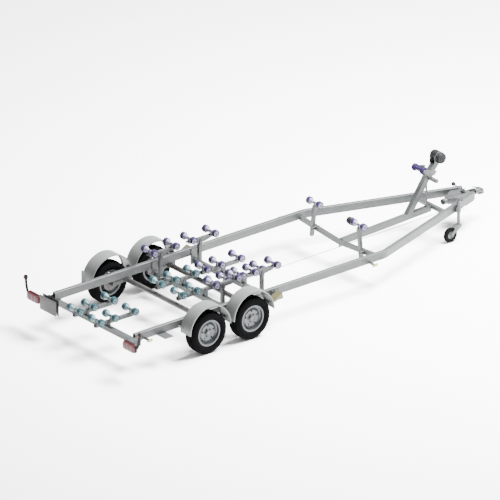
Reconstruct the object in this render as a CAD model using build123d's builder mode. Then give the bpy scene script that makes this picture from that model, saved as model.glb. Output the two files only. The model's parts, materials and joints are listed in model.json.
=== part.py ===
from math import atan2, cos, degrees, hypot, sin, sqrt

from build123d import *

# Boat trailer with two axles, swinging roller cradles and a winch post.
# Millimetres. +X forward (towards the coupling), +Y left, +Z up, floor at z = 0.
# The origin is on the floor, half way along the whole length.

SIDES = (("left", 1), ("right", -1))

# Stations: how far ahead of the side beams' rear ends each thing stands
REAR_CROSS_AT = 65.0
REAR_CRADLE_OVERHANG = 142.0
MIDDLE_CRADLE_AT = 1338.0
MIDDLE_POST_AT = 1757.0
FRONT_CRADLE_AT = 2155.0
FRONT_POST_AT = 2463.0
STEP_AT = 470.0
REAR_WHEEL_AT = 1123.0
AXLE_SPACING = 785.0
MARKERS_AT = (160.0, 4230.0)
CHOCK_AT = 2460.0
VEE_AT = 4445.0
BEND_AT = 4520.0
WINCH_FOOT_AT = 5700.0
BOW_AT = 5895.0
WINCH_BEND_AT = 6030.0
FRONT_CROSS_AT = 6120.0
WINCH_TOP_AT = 6185.0
DRUM_AT = 6215.0
JOCKEY_AT = 6320.0
DRAWBAR_REAR_AT = 6330.0
LEVER_END_AT = 6330.0
NOSE_PLATE_AT = 6380.0
HOUSING_AT = 6420.0
ROD_FRONT_AT = 6600.0
NOSE_AT = 6787.0
COUPLING_FRONT_AT = 7080.0
LAMP_OVERHANG = 250.0

# Side beams: rectangular tube, parallel to the bend and then converging to the nose
BEAM_REAR = -3415.0
BEAM_Y = 900.0
BEAM_Z = 468.0
BEAM_W = 60.0
BEAM_H = 120.0
BEAM_WALL = 4.0
BEAM_CORNER = 9.0
BEND_X = BEAM_REAR + BEND_AT
BEND_RADIUS = 250.0
NOSE_X = BEAM_REAR + NOSE_AT
NOSE_Y = 126.0
CONVERGE = (BEAM_Y - NOSE_Y) / (NOSE_X - BEND_X)
BEAM_TOP = BEAM_Z + BEAM_H / 2
BEAM_BOTTOM = BEAM_Z - BEAM_H / 2
BEAM_INNER = BEAM_Y - BEAM_W / 2
BEAM_OUTER = BEAM_Y + BEAM_W / 2

# Fits: gap round a pin that turns, gap between pieces that stay together, gap beside a swinging arm
PIN_FIT = 0.05
SEAT_GAP = 0.3
SWING_GAP = 1.5

# Cross members
TUBE = 60.0
TUBE_WALL = 3.0
REAR_CROSS_X = BEAM_REAR + REAR_CROSS_AT
REAR_CROSS_SIZE = 70.0
REAR_CROSS_SHIM = 8.0
SHIM_OVERHANG = 15.0
CRADLE_CROSS_DROP = 148.0
CRADLE_CROSS_H = 70.0
HANGER_L = 160.0
HANGER_T = 8.0
HANGER_TOP = 12.0
HANGER_BELOW = 10.0
VEE_X = BEAM_REAR + VEE_AT
VEE_END_Z = 433.0
VEE_MID_Z = 363.0
FRONT_CROSS_X = BEAM_REAR + FRONT_CROSS_AT
KEEL_SIZE = 80.0
KEEL_FRONT_Z = 428.0
KEEL_WALL = 4.0

# Wheels: 195/70 R14 tyres on 14 inch rims, carried by trailing arms on rubber torsion axles
WHEEL_R = 314.5
TYRE_W = 198.0
BEAM_TO_TYRE = 78.0
TRACK_Y = BEAM_OUTER + BEAM_TO_TYRE + TYRE_W / 2
RIM_SEAT_R = 177.5
RIM_FLANGE_R = 196.0
RIM_W = 156.0
RIM_T = 4.0
WHEEL_OFFSET = 30.0
STUB_R = 20.0
ARM_LENGTH = 205.0
AXLE_R = 38.0
AXLE_Z = 346.0
WHEELS = (
    # name, x of the wheel centre
    ("rear", BEAM_REAR + REAR_WHEEL_AT),
    ("front", BEAM_REAR + REAR_WHEEL_AT + AXLE_SPACING),
)

RIM_WELL = 20.0
HUB_R = 34.0
HUB_NOSE = 62.0
DISC_T = 6.0
DISC_DISH_R = 118.0
DISC_DISH = 42.0
HAND_HOLE_PCD = 210.0
HAND_HOLE_R = 15.0
DRUM_OUTER_R = 118.0
DRUM_BACK = 64.0
BACK_PLATE_T = 8.0
PLATE_SETBACK = 12.0
PLATE_MARGIN = 4.0
WHEEL_GAP = 5.0
ARM_H = 56.0
ARM_EYE_R = 38.0
AXLE_BLOCK_L = 110.0
AXLE_BLOCK_INSET = 3.0
AXLE_PAST_BEAM = 6.0
ARM_TO_TYRE = 30.0
ARM_EYE_WALL = 8.0
STUB_PAST = 6.0
STUB_END_GAP = 2.0
RIM_SEAT_INSET = 12.0
WELL_TOP_HALF = 38.0
WELL_FLOOR_HALF = 26.0
WELL_STEP = 2.0
DISC_ROOT = (4.0, 22.0)
DISC_SINK = 1.0
HUB_COLLAR = 14.0
DRUM_COLLAR = 20.0
DRUM_FACE = 12.0
BEAD_GAP = 0.5
BEAD_R_GAP = 4.0
WALL_FOOT_INSET = 7.0
WALL_R = 250.0
WALL_FOOT_R = 222.0
SHOULDER_R = 290.0
SHOULDER_HALF = 90.0
TREAD_EDGE_R = 310.0
TREAD_HALF = 70.0

# Mudguards: one over each wheel
GUARD_R = 368.0
GUARD_RISE = 60.0
GUARD_W = 222.0
GUARD_T = 3.0
GUARD_LIP = 16.0
STAY = 20.0
STAY_PAST = 13.0
STAY_REACH = TRACK_Y + STAY_PAST - BEAM_OUTER
STAY_RISE = 62.0

# Rollers run in pairs on a cross axle
ROLLER_R = 45.0
ROLLER_W = 74.0
ROLLER_BEVEL = 9.0
ROLLER_PITCH = 220.0
ROLLER_AXLE_R = 8.0

# Inner cradles: a straight arm with roller pairs, swinging on a cross member
CRADLE_ARM = 50.0
CRADLE_WALL = 3.0
CRADLE_Y = 237.0
CRADLE_ARM_Z = 460.0
CRADLE_ROLLER_Z = 540.0
CRADLE_PAIRS = (0.0, 255.0, 609.0)
CRADLE_END = 32.0
UPRIGHT_R = 20.0
UPRIGHT_T = 16.0
LUG_T = 8.0
LUG_R = 24.0
PIVOT_R = 10.0
PIVOT_SLEEVE = 6.0
CROSS_AHEAD_OF_POST = 55.0
CRADLES = (
    # name, x of the first roller pair, x of the pivot over its cross member, top of that cross member
    ("rear", BEAM_REAR - REAR_CRADLE_OVERHANG, REAR_CROSS_X, BEAM_BOTTOM - REAR_CROSS_SHIM),
    ("middle", BEAM_REAR + MIDDLE_CRADLE_AT, BEAM_REAR + MIDDLE_POST_AT + CROSS_AHEAD_OF_POST,
     BEAM_Z - CRADLE_CROSS_DROP + CRADLE_CROSS_H / 2),
    ("front", BEAM_REAR + FRONT_CRADLE_AT, BEAM_REAR + FRONT_POST_AT + CROSS_AHEAD_OF_POST,
     BEAM_Z - CRADLE_CROSS_DROP + CRADLE_CROSS_H / 2),
)

# Outer bogies: a short arm with two roller pairs on top of a post
POST = 50.0
POST_FOOT = 18.0
BOGIE_Y = 695.0
BOGIE_PIVOT_Z = 716.0
BOGIE_ROLLER_Z = 795.0
BOGIE_HALF = 198.0
BOGIE_ARM_H = 66.0
BOGIE_ARM_W = 56.0
BOGIE_ARM_T = 4.0
BOGIE_ARM_GAP = 14.0
BOGIE_TIP = 34.0
BOGIE_TIP_H = 26.0
BOGIE_WAIST = 70.0
BOGIES = (
    # name, x of the post, x of the cross member that carries it
    ("rear", CRADLES[1][2] - CROSS_AHEAD_OF_POST, CRADLES[1][2]),
    ("front", CRADLES[2][2] - CROSS_AHEAD_OF_POST, CRADLES[2][2]),
)

# Front supports: leaning posts on the V cross member
FRONT_POST_FOOT_Y = 556.0
FRONT_POST_TOP_Y = 492.0
FRONT_POST_FOOT_Z = 285.0
FRONT_POST_TOP_Z = 770.0
FRONT_ROLLER_Z = 815.0
LUG_SINK = 2.0

# Winch post on the keel beam
WINCH_FOOT_X = BEAM_REAR + WINCH_FOOT_AT
WINCH_BEND_X = BEAM_REAR + WINCH_BEND_AT
WINCH_TOP_X = BEAM_REAR + WINCH_TOP_AT
WINCH_BEND_Z = 930.0
WINCH_TOP_Z = 1100.0
WINCH_POST_W = 80.0
BOW_X = BEAM_REAR + BOW_AT
BOW_Z = 1086.0
BOW_L = 240.0
BOW_R = 46.0
BOW_WAIST_R = 30.0
BOW_PIN_R = 10.0
DRUM_X = BEAM_REAR + DRUM_AT
DRUM_Z = 1206.0
DRUM_R = 32.0
DRUM_FLANGE_R = 62.0
DRUM_L = 90.0
DRUM_SHAFT_R = 10.0
WINCH_PLATE_T = 5.0
WINCH_BEND_R = 90.0
WINCH_FRAME_L = 170.0
PLATE_PAST = 6.0
PLATE_RISE = 22.0
FLANGE_T = 4.0
FOOT_BELOW = 70.0
HEAD_ABOVE = 80.0
WINCH_CLEAR = 5.0
BRACE_R = 14.0
GEAR_R = 66.0
GEAR_T = 14.0
WINCH_BAR = 45.0
WINCH_BAR_REACH = 235.0
COVER_R = 76.0
COVER_T = 3.0

# Jockey wheel, clamped to the right side beam
JOCKEY_X = BEAM_REAR + JOCKEY_AT
JOCKEY_Y = -368.0
JOCKEY_TUBE_R = 30.0
JOCKEY_TUBE_TOP = 610.0
JOCKEY_CLAMP_L = 90.0
JOCKEY_CLAMP_INSET = 22.0
JOCKEY_CLAMP_PAST = 8.0
JOCKEY_TUBE_BOTTOM = 425.0
JOCKEY_STEM_R = 24.0
JOCKEY_STEM_BOTTOM = 246.0
JOCKEY_WHEEL_R = 112.5
JOCKEY_WHEEL_W = 50.0
JOCKEY_DISH = 14.0
JOCKEY_WALL = 36.0
SHALLOW = 3.0
SHALLOW_RUN = 4.0
JOCKEY_HUB_R = 26.0
JOCKEY_HUB_FOOT_R = 32.0
JOCKEY_TRAIL = 150.0
JOCKEY_TRAVEL = 140.0
JOCKEY_PIN_R = 8.0
SWIVEL_R = 11.0
FORK_T = 6.0
FORK_GAP = 6.0

# Overrun coupling
DRAWBAR_Z = 450.0
DRAWBAR_R = 30.0
DRAWBAR_REAR = BEAM_REAR + DRAWBAR_REAR_AT
HOUSING_W = 128.0
HOUSING_REAR = BEAM_REAR + HOUSING_AT
PLATE_T = 8.0
NOSE_PLATE_REAR = BEAM_REAR + NOSE_PLATE_AT
COUPLING_FRONT = BEAM_REAR + COUPLING_FRONT_AT
BRAKE_ROD_R = 5.0
BRAKE_ROD_Z = 307.0
BRAKE_ROD_REAR_Z = 270.0
BALL_R = 25.5
LEVER_T = 8.0
LEVER_GAP = 1.0
LEVER_H = 24.0
LEVER_RISE = 60.0
LEVER_KNEE = 70.0
LEVER_KNEE_RISE = 20.0
LEVER_FRONT = 20.0
LEVER_FOOT = 8.0
LEVER_FOOT_H = 26.0
HOUSING_AHEAD = 20.0
HOUSING_SHY = 1.0
COLLAR_R = 46.0
COLLAR_L = 90.0
DRAWBAR_AHEAD = 175.0
HEAD_AHEAD = 110.0
HEAD_W = 84.0
ROD_REAR_GAP = 20.0
ROD_ARM_W = 26.0
ROD_ARM_T = 10.0
ROD_ARM_BELOW = 14.0
ROD_HANGER = 24.0
EQUALISER = (20.0, 120.0, 14.0)

# Rear lamps, number plate and side markers
LAMP_BACK = BEAM_REAR - LAMP_OVERHANG
LAMP_Y = 1076.0
LAMP_Z = 455.0
LAMP_W = 276.0
LAMP_H = 136.0
LAMP_D = 62.0
LENS_D = 28.0
LIGHT_PLATE_T = 4.0
NUMBER_PLATE_Y = 730.0
NUMBER_PLATE_W = 360.0
NUMBER_PLATE_H = 240.0
NUMBER_PLATE_TAB = 40.0
BRACKET_H = 60.0
BRACKET_LAP = 120.0
BRACKET_TAB = 30.0
MARKER_ARM = 120.0
MARKER_ARM_T = 5.0
MARKER_ARM_H = 44.0
MARKER = (90.0, 24.0, 40.0)
MARKER_RAISE = 2.0
STEP = (160.0, 220.0, 4.0)
STEP_LAP = 40.0
ARM_T = 24.0
ARM_TIP = 26.0
ARM_ROOT_IN = 10.0
ARM_ROOT_OUT = 20.0
ARM_ROOT_LOW = 20.0
ARM_ROOT_HIGH = 40.0
LENS_MARGIN = 4.0
MARKER_REACH = 112.0
MARKER_RISE = 175.0
SIDE_MARKER_X = tuple(BEAM_REAR + at for at in MARKERS_AT)
CHOCK_X = BEAM_REAR + CHOCK_AT
CHOCK_HALF = 90.0
CHOCK_LEAN = 70.0
CHOCK_RISE = 90.0
CHOCK_W = 120.0
CHOCK_OUT = 85.0
CHOCK_HOLDER = (120.0, 26.0, 6.0)
CHOCK_HOLDER_UP = 14.0


def side_plane(y):
    """Plane at the given y, drawn with x forward and z up."""
    return Plane.XZ.offset(-y)


def beam_y(x):
    """Centreline of the left side beam, at x ahead of the bend."""
    return BEAM_Y - (x - BEND_X) * CONVERGE


def write_piece(piece, name):
    piece.part.label = name
    export_step(piece.part, f"parts/{name}.step")


def lug(x, y, base_z, pin_z, radius, thickness):
    """Upright plate with a round top about a pin, from base_z up."""
    with BuildSketch(side_plane(y)) as plate:
        with Locations((x, (base_z + pin_z) / 2)):
            Rectangle(2 * radius, pin_z - base_z)
        with Locations((x, pin_z)):
            Circle(radius)
    extrude(plate.sketch, amount=thickness / 2, both=True)


def cross_bore(x, y, z, radius, half_length):
    """Hole along y."""
    with Locations(Location((x, y, z), (90, 0, 0))):
        Cylinder(radius, 2 * half_length, mode=Mode.SUBTRACT)


def cross_pin(x, y, z, radius, half_length):
    """Round bar along y."""
    with Locations(Location((x, y, z), (90, 0, 0))):
        Cylinder(radius, 2 * half_length)


def pivot_lugs(x, y, base_z, pin_z, arm_w):
    """Two lugs either side of a swinging arm, with the pin that it turns on."""
    lug_y = arm_w / 2 + SWING_GAP + LUG_T / 2
    for side in (1, -1):
        lug(x, y + side * lug_y, base_z, pin_z, LUG_R, LUG_T)
    cross_pin(x, y, pin_z, PIVOT_R, lug_y + LUG_T)


def hollow_box(x, y, z, size_x, size_y, size_z, wall, axis):
    """Rectangular tube along x or y, open at both ends."""
    inner = {"x": (size_x + 1, size_y - 2 * wall, size_z - 2 * wall),
             "y": (size_x - 2 * wall, size_y + 1, size_z - 2 * wall)}[axis]
    with Locations((x, y, z)):
        Box(size_x, size_y, size_z)
        Box(*inner, mode=Mode.SUBTRACT)


# Side beams
for side, sign in SIDES:
    with BuildPart() as beam:
        with BuildLine():
            FilletPolyline(
                (BEAM_REAR, sign * BEAM_Y, BEAM_Z),
                (BEND_X, sign * BEAM_Y, BEAM_Z),
                (NOSE_X, sign * NOSE_Y, BEAM_Z),
                radius=BEND_RADIUS,
            )
        with BuildSketch(Plane((BEAM_REAR, sign * BEAM_Y, BEAM_Z), (0, 1, 0), (1, 0, 0))):
            RectangleRounded(BEAM_W, BEAM_H, BEAM_CORNER)
            Rectangle(BEAM_W - 2 * BEAM_WALL, BEAM_H - 2 * BEAM_WALL, mode=Mode.SUBTRACT)
        sweep()
    write_piece(beam, f"beam_{side}")

# Rear cross member, under the beams, with the pivot lugs of the rear cradles
with BuildPart() as cross_rear:
    rear_cross_top = BEAM_BOTTOM - REAR_CROSS_SHIM
    hollow_box(REAR_CROSS_X, 0, rear_cross_top - REAR_CROSS_SIZE / 2,
               REAR_CROSS_SIZE, 2 * BEAM_OUTER, REAR_CROSS_SIZE, TUBE_WALL, "y")
    for sign in (1, -1):
        with Locations((REAR_CROSS_X, sign * BEAM_Y, BEAM_BOTTOM - REAR_CROSS_SHIM / 2)):
            Box(REAR_CROSS_SIZE + 2 * SHIM_OVERHANG, BEAM_W, REAR_CROSS_SHIM)
        pivot_lugs(REAR_CROSS_X, sign * CRADLE_Y, rear_cross_top - TUBE_WALL / 2, CRADLE_ARM_Z, CRADLE_ARM)
write_piece(cross_rear, "cross_rear")

# Cradle cross members, hung from the beams, with the pivot lugs and the posts of the bogies
cradle_cross_z = BEAM_Z - CRADLE_CROSS_DROP
cradle_cross_top = cradle_cross_z + CRADLE_CROSS_H / 2
hanger_z0 = cradle_cross_z - CRADLE_CROSS_H / 2 - HANGER_BELOW
hanger_z1 = BEAM_TOP - HANGER_TOP
for name, post_x, cross_x in BOGIES:
    with BuildPart() as cradle_cross:
        hollow_box(cross_x, 0, cradle_cross_z, TUBE, 2 * (BEAM_INNER - HANGER_T), CRADLE_CROSS_H,
                   TUBE_WALL, "y")
        for sign in (1, -1):
            with Locations((cross_x, sign * (BEAM_INNER - HANGER_T / 2), (hanger_z0 + hanger_z1) / 2)):
                Box(HANGER_L, HANGER_T, hanger_z1 - hanger_z0)
            pivot_lugs(cross_x, sign * CRADLE_Y, cradle_cross_top - TUBE_WALL / 2, CRADLE_ARM_Z, CRADLE_ARM)
    write_piece(cradle_cross, f"cross_cradle_{name}")

# Posts of the outer bogies, clamped to the rear faces of the cradle cross members
with BuildPart() as bogie_posts:
    post_foot = cradle_cross_z - CRADLE_CROSS_H / 2 - POST_FOOT
    post_top = BOGIE_PIVOT_Z - BOGIE_ARM_H / 2 - BOGIE_ARM_GAP
    for name, post_x, cross_x in BOGIES:
        for sign in (1, -1):
            with Locations((post_x, sign * BOGIE_Y, (post_foot + post_top) / 2)):
                Box(POST, POST, post_top - post_foot)
            with Locations((post_x, sign * BOGIE_Y, post_top - LUG_T / 2)):
                Box(POST, BOGIE_ARM_W + 2 * SWING_GAP + 2 * LUG_T, LUG_T)
            pivot_lugs(post_x, sign * BOGIE_Y, post_top - LUG_T, BOGIE_PIVOT_Z, BOGIE_ARM_W)
write_piece(bogie_posts, "bogie_posts")


def vee_outline(half):
    """V cross member seen along x, with the given half height."""
    with BuildSketch(Plane.YZ.offset(VEE_X)) as outline:
        with BuildLine():
            Polyline(
                (-BEAM_INNER, VEE_END_Z - half), (0, VEE_MID_Z - half), (BEAM_INNER, VEE_END_Z - half),
                (BEAM_INNER, VEE_END_Z + half), (0, VEE_MID_Z + half), (-BEAM_INNER, VEE_END_Z + half),
                close=True,
            )
        make_face()
    return outline.sketch


# V-shaped cross member at the bend
with BuildPart() as cross_vee:
    extrude(vee_outline(TUBE / 2), amount=TUBE / 2, both=True)
    extrude(vee_outline(TUBE / 2 - TUBE_WALL), amount=TUBE / 2 - TUBE_WALL, both=True, mode=Mode.SUBTRACT)
write_piece(cross_vee, "cross_vee")

# Keel beam from the V cross member to the front cross member
keel_rear = VEE_X + TUBE / 2
keel_front = FRONT_CROSS_X - TUBE / 2
keel_slope = (KEEL_FRONT_Z - VEE_MID_Z) / (keel_front - keel_rear)


def keel_outline(half):
    """Keel beam seen from the side, with the given half height."""
    with BuildSketch(side_plane(0)) as outline:
        with BuildLine():
            Polyline(
                (keel_rear, VEE_MID_Z - half), (keel_front, KEEL_FRONT_Z - half),
                (keel_front, KEEL_FRONT_Z + half), (keel_rear, VEE_MID_Z + half),
                close=True,
            )
        make_face()
    return outline.sketch


with BuildPart() as keel_beam:
    extrude(keel_outline(KEEL_SIZE / 2), amount=KEEL_SIZE / 2, both=True)
    extrude(keel_outline(KEEL_SIZE / 2 - KEEL_WALL), amount=KEEL_SIZE / 2 - KEEL_WALL, both=True,
            mode=Mode.SUBTRACT)
write_piece(keel_beam, "keel_beam")


def between_beams(x0, x1, z0, height, reach):
    """Slab between the converging beams, its ends at the given reach from their centrelines."""
    y0 = beam_y(x0) + reach
    y1 = beam_y(x1) + reach
    with BuildSketch(Plane.XY.offset(z0)) as outline:
        with BuildLine():
            Polyline((x0, -y0), (x1, -y1), (x1, y1), (x0, y0), close=True)
        make_face()
    extrude(outline.sketch, amount=height)


# Front cross member and the nose plates over and under the beams
beam_face = BEAM_W / 2 * hypot(1, CONVERGE)
plate_front = NOSE_X - PLATE_SETBACK
with BuildPart() as nose_frame:
    between_beams(FRONT_CROSS_X - TUBE / 2, FRONT_CROSS_X + TUBE / 2, BEAM_Z - TUBE / 2, TUBE, -beam_face)
    between_beams(NOSE_PLATE_REAR, plate_front, BEAM_TOP, PLATE_T, beam_face - PLATE_MARGIN)
    between_beams(NOSE_PLATE_REAR, plate_front, BEAM_BOTTOM - PLATE_T, PLATE_T, beam_face - PLATE_MARGIN)
write_piece(nose_frame, "nose_frame")

# Axles: torsion tube with mounting blocks, trailing arms, brake back plates and stub axles
arm_y0 = BEAM_OUTER + AXLE_PAST_BEAM
arm_y1 = TRACK_Y - TYRE_W / 2 - ARM_TO_TYRE
arm_mid = (arm_y0 + arm_y1) / 2
back_plate_y = TRACK_Y - DRUM_BACK - BACK_PLATE_T / 2 - WHEEL_GAP
stub_end = TRACK_Y + WHEEL_OFFSET + STUB_PAST
arm_angle = degrees(atan2(AXLE_Z - WHEEL_R, ARM_LENGTH))
arm_run = hypot(ARM_LENGTH, AXLE_Z - WHEEL_R)
with BuildPart() as axles:
    for name, wheel_x in WHEELS:
        axle_x = wheel_x + ARM_LENGTH
        cross_pin(axle_x, 0, AXLE_Z, AXLE_R, arm_y0)
        for sign in (1, -1):
            with Locations((axle_x, sign * BEAM_Y, (AXLE_Z + BEAM_BOTTOM) / 2)):
                Box(AXLE_BLOCK_L, BEAM_W - 2 * AXLE_BLOCK_INSET, BEAM_BOTTOM - AXLE_Z)
            with BuildSketch(side_plane(sign * arm_mid)):
                with Locations(Location(((wheel_x + axle_x) / 2, (WHEEL_R + AXLE_Z) / 2), arm_angle)):
                    Rectangle(arm_run, ARM_H)
                with Locations((wheel_x, WHEEL_R)):
                    Circle(ARM_EYE_R)
                with Locations((axle_x, AXLE_Z)):
                    Circle(AXLE_R + ARM_EYE_WALL)
            extrude(amount=(arm_y1 - arm_y0) / 2, both=True)
            cross_pin(wheel_x, sign * (arm_mid + back_plate_y) / 2, WHEEL_R, ARM_EYE_R,
                      (back_plate_y - arm_mid) / 2)
            cross_pin(wheel_x, sign * (arm_mid + stub_end) / 2, WHEEL_R, STUB_R, (stub_end - arm_mid) / 2)
            cross_pin(wheel_x, sign * back_plate_y, WHEEL_R, DRUM_OUTER_R, BACK_PLATE_T / 2)
write_piece(axles, "axles")

# Wheels: rim with disc, hub and brake drum, and the tyre
half_rim = RIM_W / 2
seat_x = half_rim - RIM_SEAT_INSET
well_r = RIM_SEAT_R - RIM_WELL
disc_r = well_r - RIM_T + DISC_SINK
bore_end = stub_end - TRACK_Y + STUB_END_GAP
for name, wheel_x in WHEELS:
    for side, sign in SIDES:
        centre = (wheel_x, sign * TRACK_Y, WHEEL_R)
        section = Plane(centre, (1, 0, 0), (0, 0, sign))
        spin_axis = Axis(centre, (0, 1, 0))
        with BuildPart() as rim:
            with BuildSketch(section):
                with BuildLine():
                    Polyline(
                        (RIM_FLANGE_R, half_rim), (RIM_FLANGE_R, half_rim - RIM_T), (RIM_SEAT_R, seat_x),
                        (RIM_SEAT_R, WELL_TOP_HALF), (well_r, WELL_FLOOR_HALF),
                        (well_r, -WELL_FLOOR_HALF), (RIM_SEAT_R, -WELL_TOP_HALF),
                        (RIM_SEAT_R, -seat_x), (RIM_FLANGE_R, RIM_T - half_rim), (RIM_FLANGE_R, -half_rim),
                        (RIM_SEAT_R - RIM_T, -half_rim), (RIM_SEAT_R - RIM_T, WELL_STEP - WELL_TOP_HALF),
                        (well_r - RIM_T, WELL_STEP - WELL_FLOOR_HALF),
                        (well_r - RIM_T, WELL_FLOOR_HALF - WELL_STEP),
                        (RIM_SEAT_R - RIM_T, WELL_TOP_HALF - WELL_STEP), (RIM_SEAT_R - RIM_T, half_rim),
                        close=True,
                    )
                make_face()
                with BuildLine():
                    Polyline(
                        (disc_r, DISC_ROOT[0]), (disc_r, DISC_ROOT[1]), (DISC_DISH_R, DISC_DISH + DISC_T),
                        (HUB_R + HUB_COLLAR, WHEEL_OFFSET + DISC_T), (HUB_R, WHEEL_OFFSET + DISC_T),
                        (HUB_R, HUB_NOSE), (0, HUB_NOSE), (0, bore_end),
                        (STUB_R + PIN_FIT, bore_end), (STUB_R + PIN_FIT, -DRUM_BACK),
                        (DRUM_OUTER_R, -DRUM_BACK), (DRUM_OUTER_R, WHEEL_OFFSET - DRUM_FACE),
                        (HUB_R + DRUM_COLLAR, WHEEL_OFFSET),
                        (DISC_DISH_R, DISC_DISH),
                        close=True,
                    )
                make_face()
            revolve(axis=spin_axis)
            with BuildSketch(Plane(centre, (1, 0, 0), (0, sign, 0)).offset(WHEEL_OFFSET)):
                with PolarLocations(HAND_HOLE_PCD / 2, 5, start_angle=90):
                    Circle(HAND_HOLE_R)
            extrude(amount=DISC_DISH, mode=Mode.SUBTRACT)
        write_piece(rim, f"rim_{name}_{side}")
        with BuildPart() as tyre:
            bead_r = RIM_SEAT_R + SEAT_GAP
            with BuildSketch(section):
                with BuildLine():
                    Polyline(
                        (TREAD_EDGE_R, -TREAD_HALF), (SHOULDER_R, -SHOULDER_HALF), (WALL_R, -TYRE_W / 2),
                        (WALL_FOOT_R, WALL_FOOT_INSET - TYRE_W / 2),
                        (RIM_FLANGE_R + BEAD_R_GAP, RIM_T - half_rim + BEAD_GAP), (bead_r, BEAD_GAP - seat_x),
                        (bead_r, seat_x - BEAD_GAP), (RIM_FLANGE_R + BEAD_R_GAP, half_rim - RIM_T - BEAD_GAP),
                        (WALL_FOOT_R, TYRE_W / 2 - WALL_FOOT_INSET), (WALL_R, TYRE_W / 2),
                        (SHOULDER_R, SHOULDER_HALF),
                        (TREAD_EDGE_R, TREAD_HALF),
                    )
                    ThreePointArc((TREAD_EDGE_R, TREAD_HALF), (WHEEL_R, 0), (TREAD_EDGE_R, -TREAD_HALF))
                make_face()
            revolve(axis=spin_axis)
        write_piece(tyre, f"tyre_{name}_{side}")

# Mudguards, each an arched sheet with turned lips and two stays to the beam
with BuildPart() as mudguards:
    for name, wheel_x in WHEELS:
        for sign in (1, -1):
            guard_z = WHEEL_R + GUARD_RISE
            guard_y = sign * TRACK_Y
            section = Plane((wheel_x, guard_y, guard_z), (1, 0, 0), (0, 0, 1))
            half_w = GUARD_W / 2
            with BuildSketch(section):
                with BuildLine():
                    Polyline(
                        (GUARD_R - GUARD_LIP, -half_w), (GUARD_R, -half_w), (GUARD_R, half_w),
                        (GUARD_R - GUARD_LIP, half_w), (GUARD_R - GUARD_LIP, half_w - GUARD_T),
                        (GUARD_R - GUARD_T, half_w - GUARD_T), (GUARD_R - GUARD_T, GUARD_T - half_w),
                        (GUARD_R - GUARD_LIP, GUARD_T - half_w),
                        close=True,
                    )
                make_face()
            revolve(axis=Axis((wheel_x, guard_y, guard_z), (0, -1, 0)), revolution_arc=180)
            stay_x = sqrt((GUARD_R - GUARD_T) ** 2 - (STAY_RISE + STAY / 2) ** 2) - STAY / 2 + GUARD_T / 2
            for end in (1, -1):
                stay_y = sign * (BEAM_OUTER + STAY_REACH / 2)
                with Locations((wheel_x + end * stay_x, stay_y, guard_z + STAY_RISE)):
                    Box(STAY, STAY_REACH, STAY)
write_piece(mudguards, "mudguards")


def roller_pair(x, y, z):
    """Two rollers on one cross axle, in the part being built."""
    outer = ROLLER_W / 2
    with BuildSketch(Plane((x, y, z), (1, 0, 0), (0, 0, 1))) as half:
        for side in (1, -1):
            mid = side * ROLLER_PITCH / 2
            with BuildLine():
                Polyline(
                    (0, mid - outer), (ROLLER_R - ROLLER_BEVEL, mid - outer),
                    (ROLLER_R, mid - outer + ROLLER_BEVEL), (ROLLER_R, mid + outer - ROLLER_BEVEL),
                    (ROLLER_R - ROLLER_BEVEL, mid + outer), (0, mid + outer),
                    close=True,
                )
            make_face()
        with Locations((ROLLER_AXLE_R / 2, 0)):
            Rectangle(ROLLER_AXLE_R, ROLLER_PITCH)
    revolve(half.sketch, axis=Axis((x, y, z), (0, 1, 0)))


# Inner cradles
for name, first_x, pivot_x, cross_top in CRADLES:
    for side, sign in SIDES:
        y = sign * CRADLE_Y
        pairs = [first_x + step for step in CRADLE_PAIRS]
        arm_length = CRADLE_PAIRS[-1] + 2 * CRADLE_END
        with BuildPart() as cradle_arm:
            with Locations((first_x + CRADLE_PAIRS[-1] / 2, y, CRADLE_ARM_Z)):
                Box(arm_length, CRADLE_ARM, CRADLE_ARM)
                Box(arm_length + 1, CRADLE_ARM - 2 * CRADLE_WALL, CRADLE_ARM - 2 * CRADLE_WALL,
                    mode=Mode.SUBTRACT)
            for x in pairs:
                lug(x, y, CRADLE_ARM_Z + CRADLE_ARM / 2 - CRADLE_WALL, CRADLE_ROLLER_Z, UPRIGHT_R, UPRIGHT_T)
                cross_bore(x, y, CRADLE_ROLLER_Z, ROLLER_AXLE_R + SEAT_GAP, UPRIGHT_T)
            cross_pin(pivot_x, y, CRADLE_ARM_Z, PIVOT_R + PIVOT_SLEEVE, CRADLE_ARM / 2)
            cross_bore(pivot_x, y, CRADLE_ARM_Z, PIVOT_R + PIN_FIT, CRADLE_ARM)
        write_piece(cradle_arm, f"cradle_arm_{name}_{side}")
        with BuildPart() as cradle_rollers:
            for x in pairs:
                roller_pair(x, y, CRADLE_ROLLER_Z)
        write_piece(cradle_rollers, f"cradle_rollers_{name}_{side}")

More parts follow.
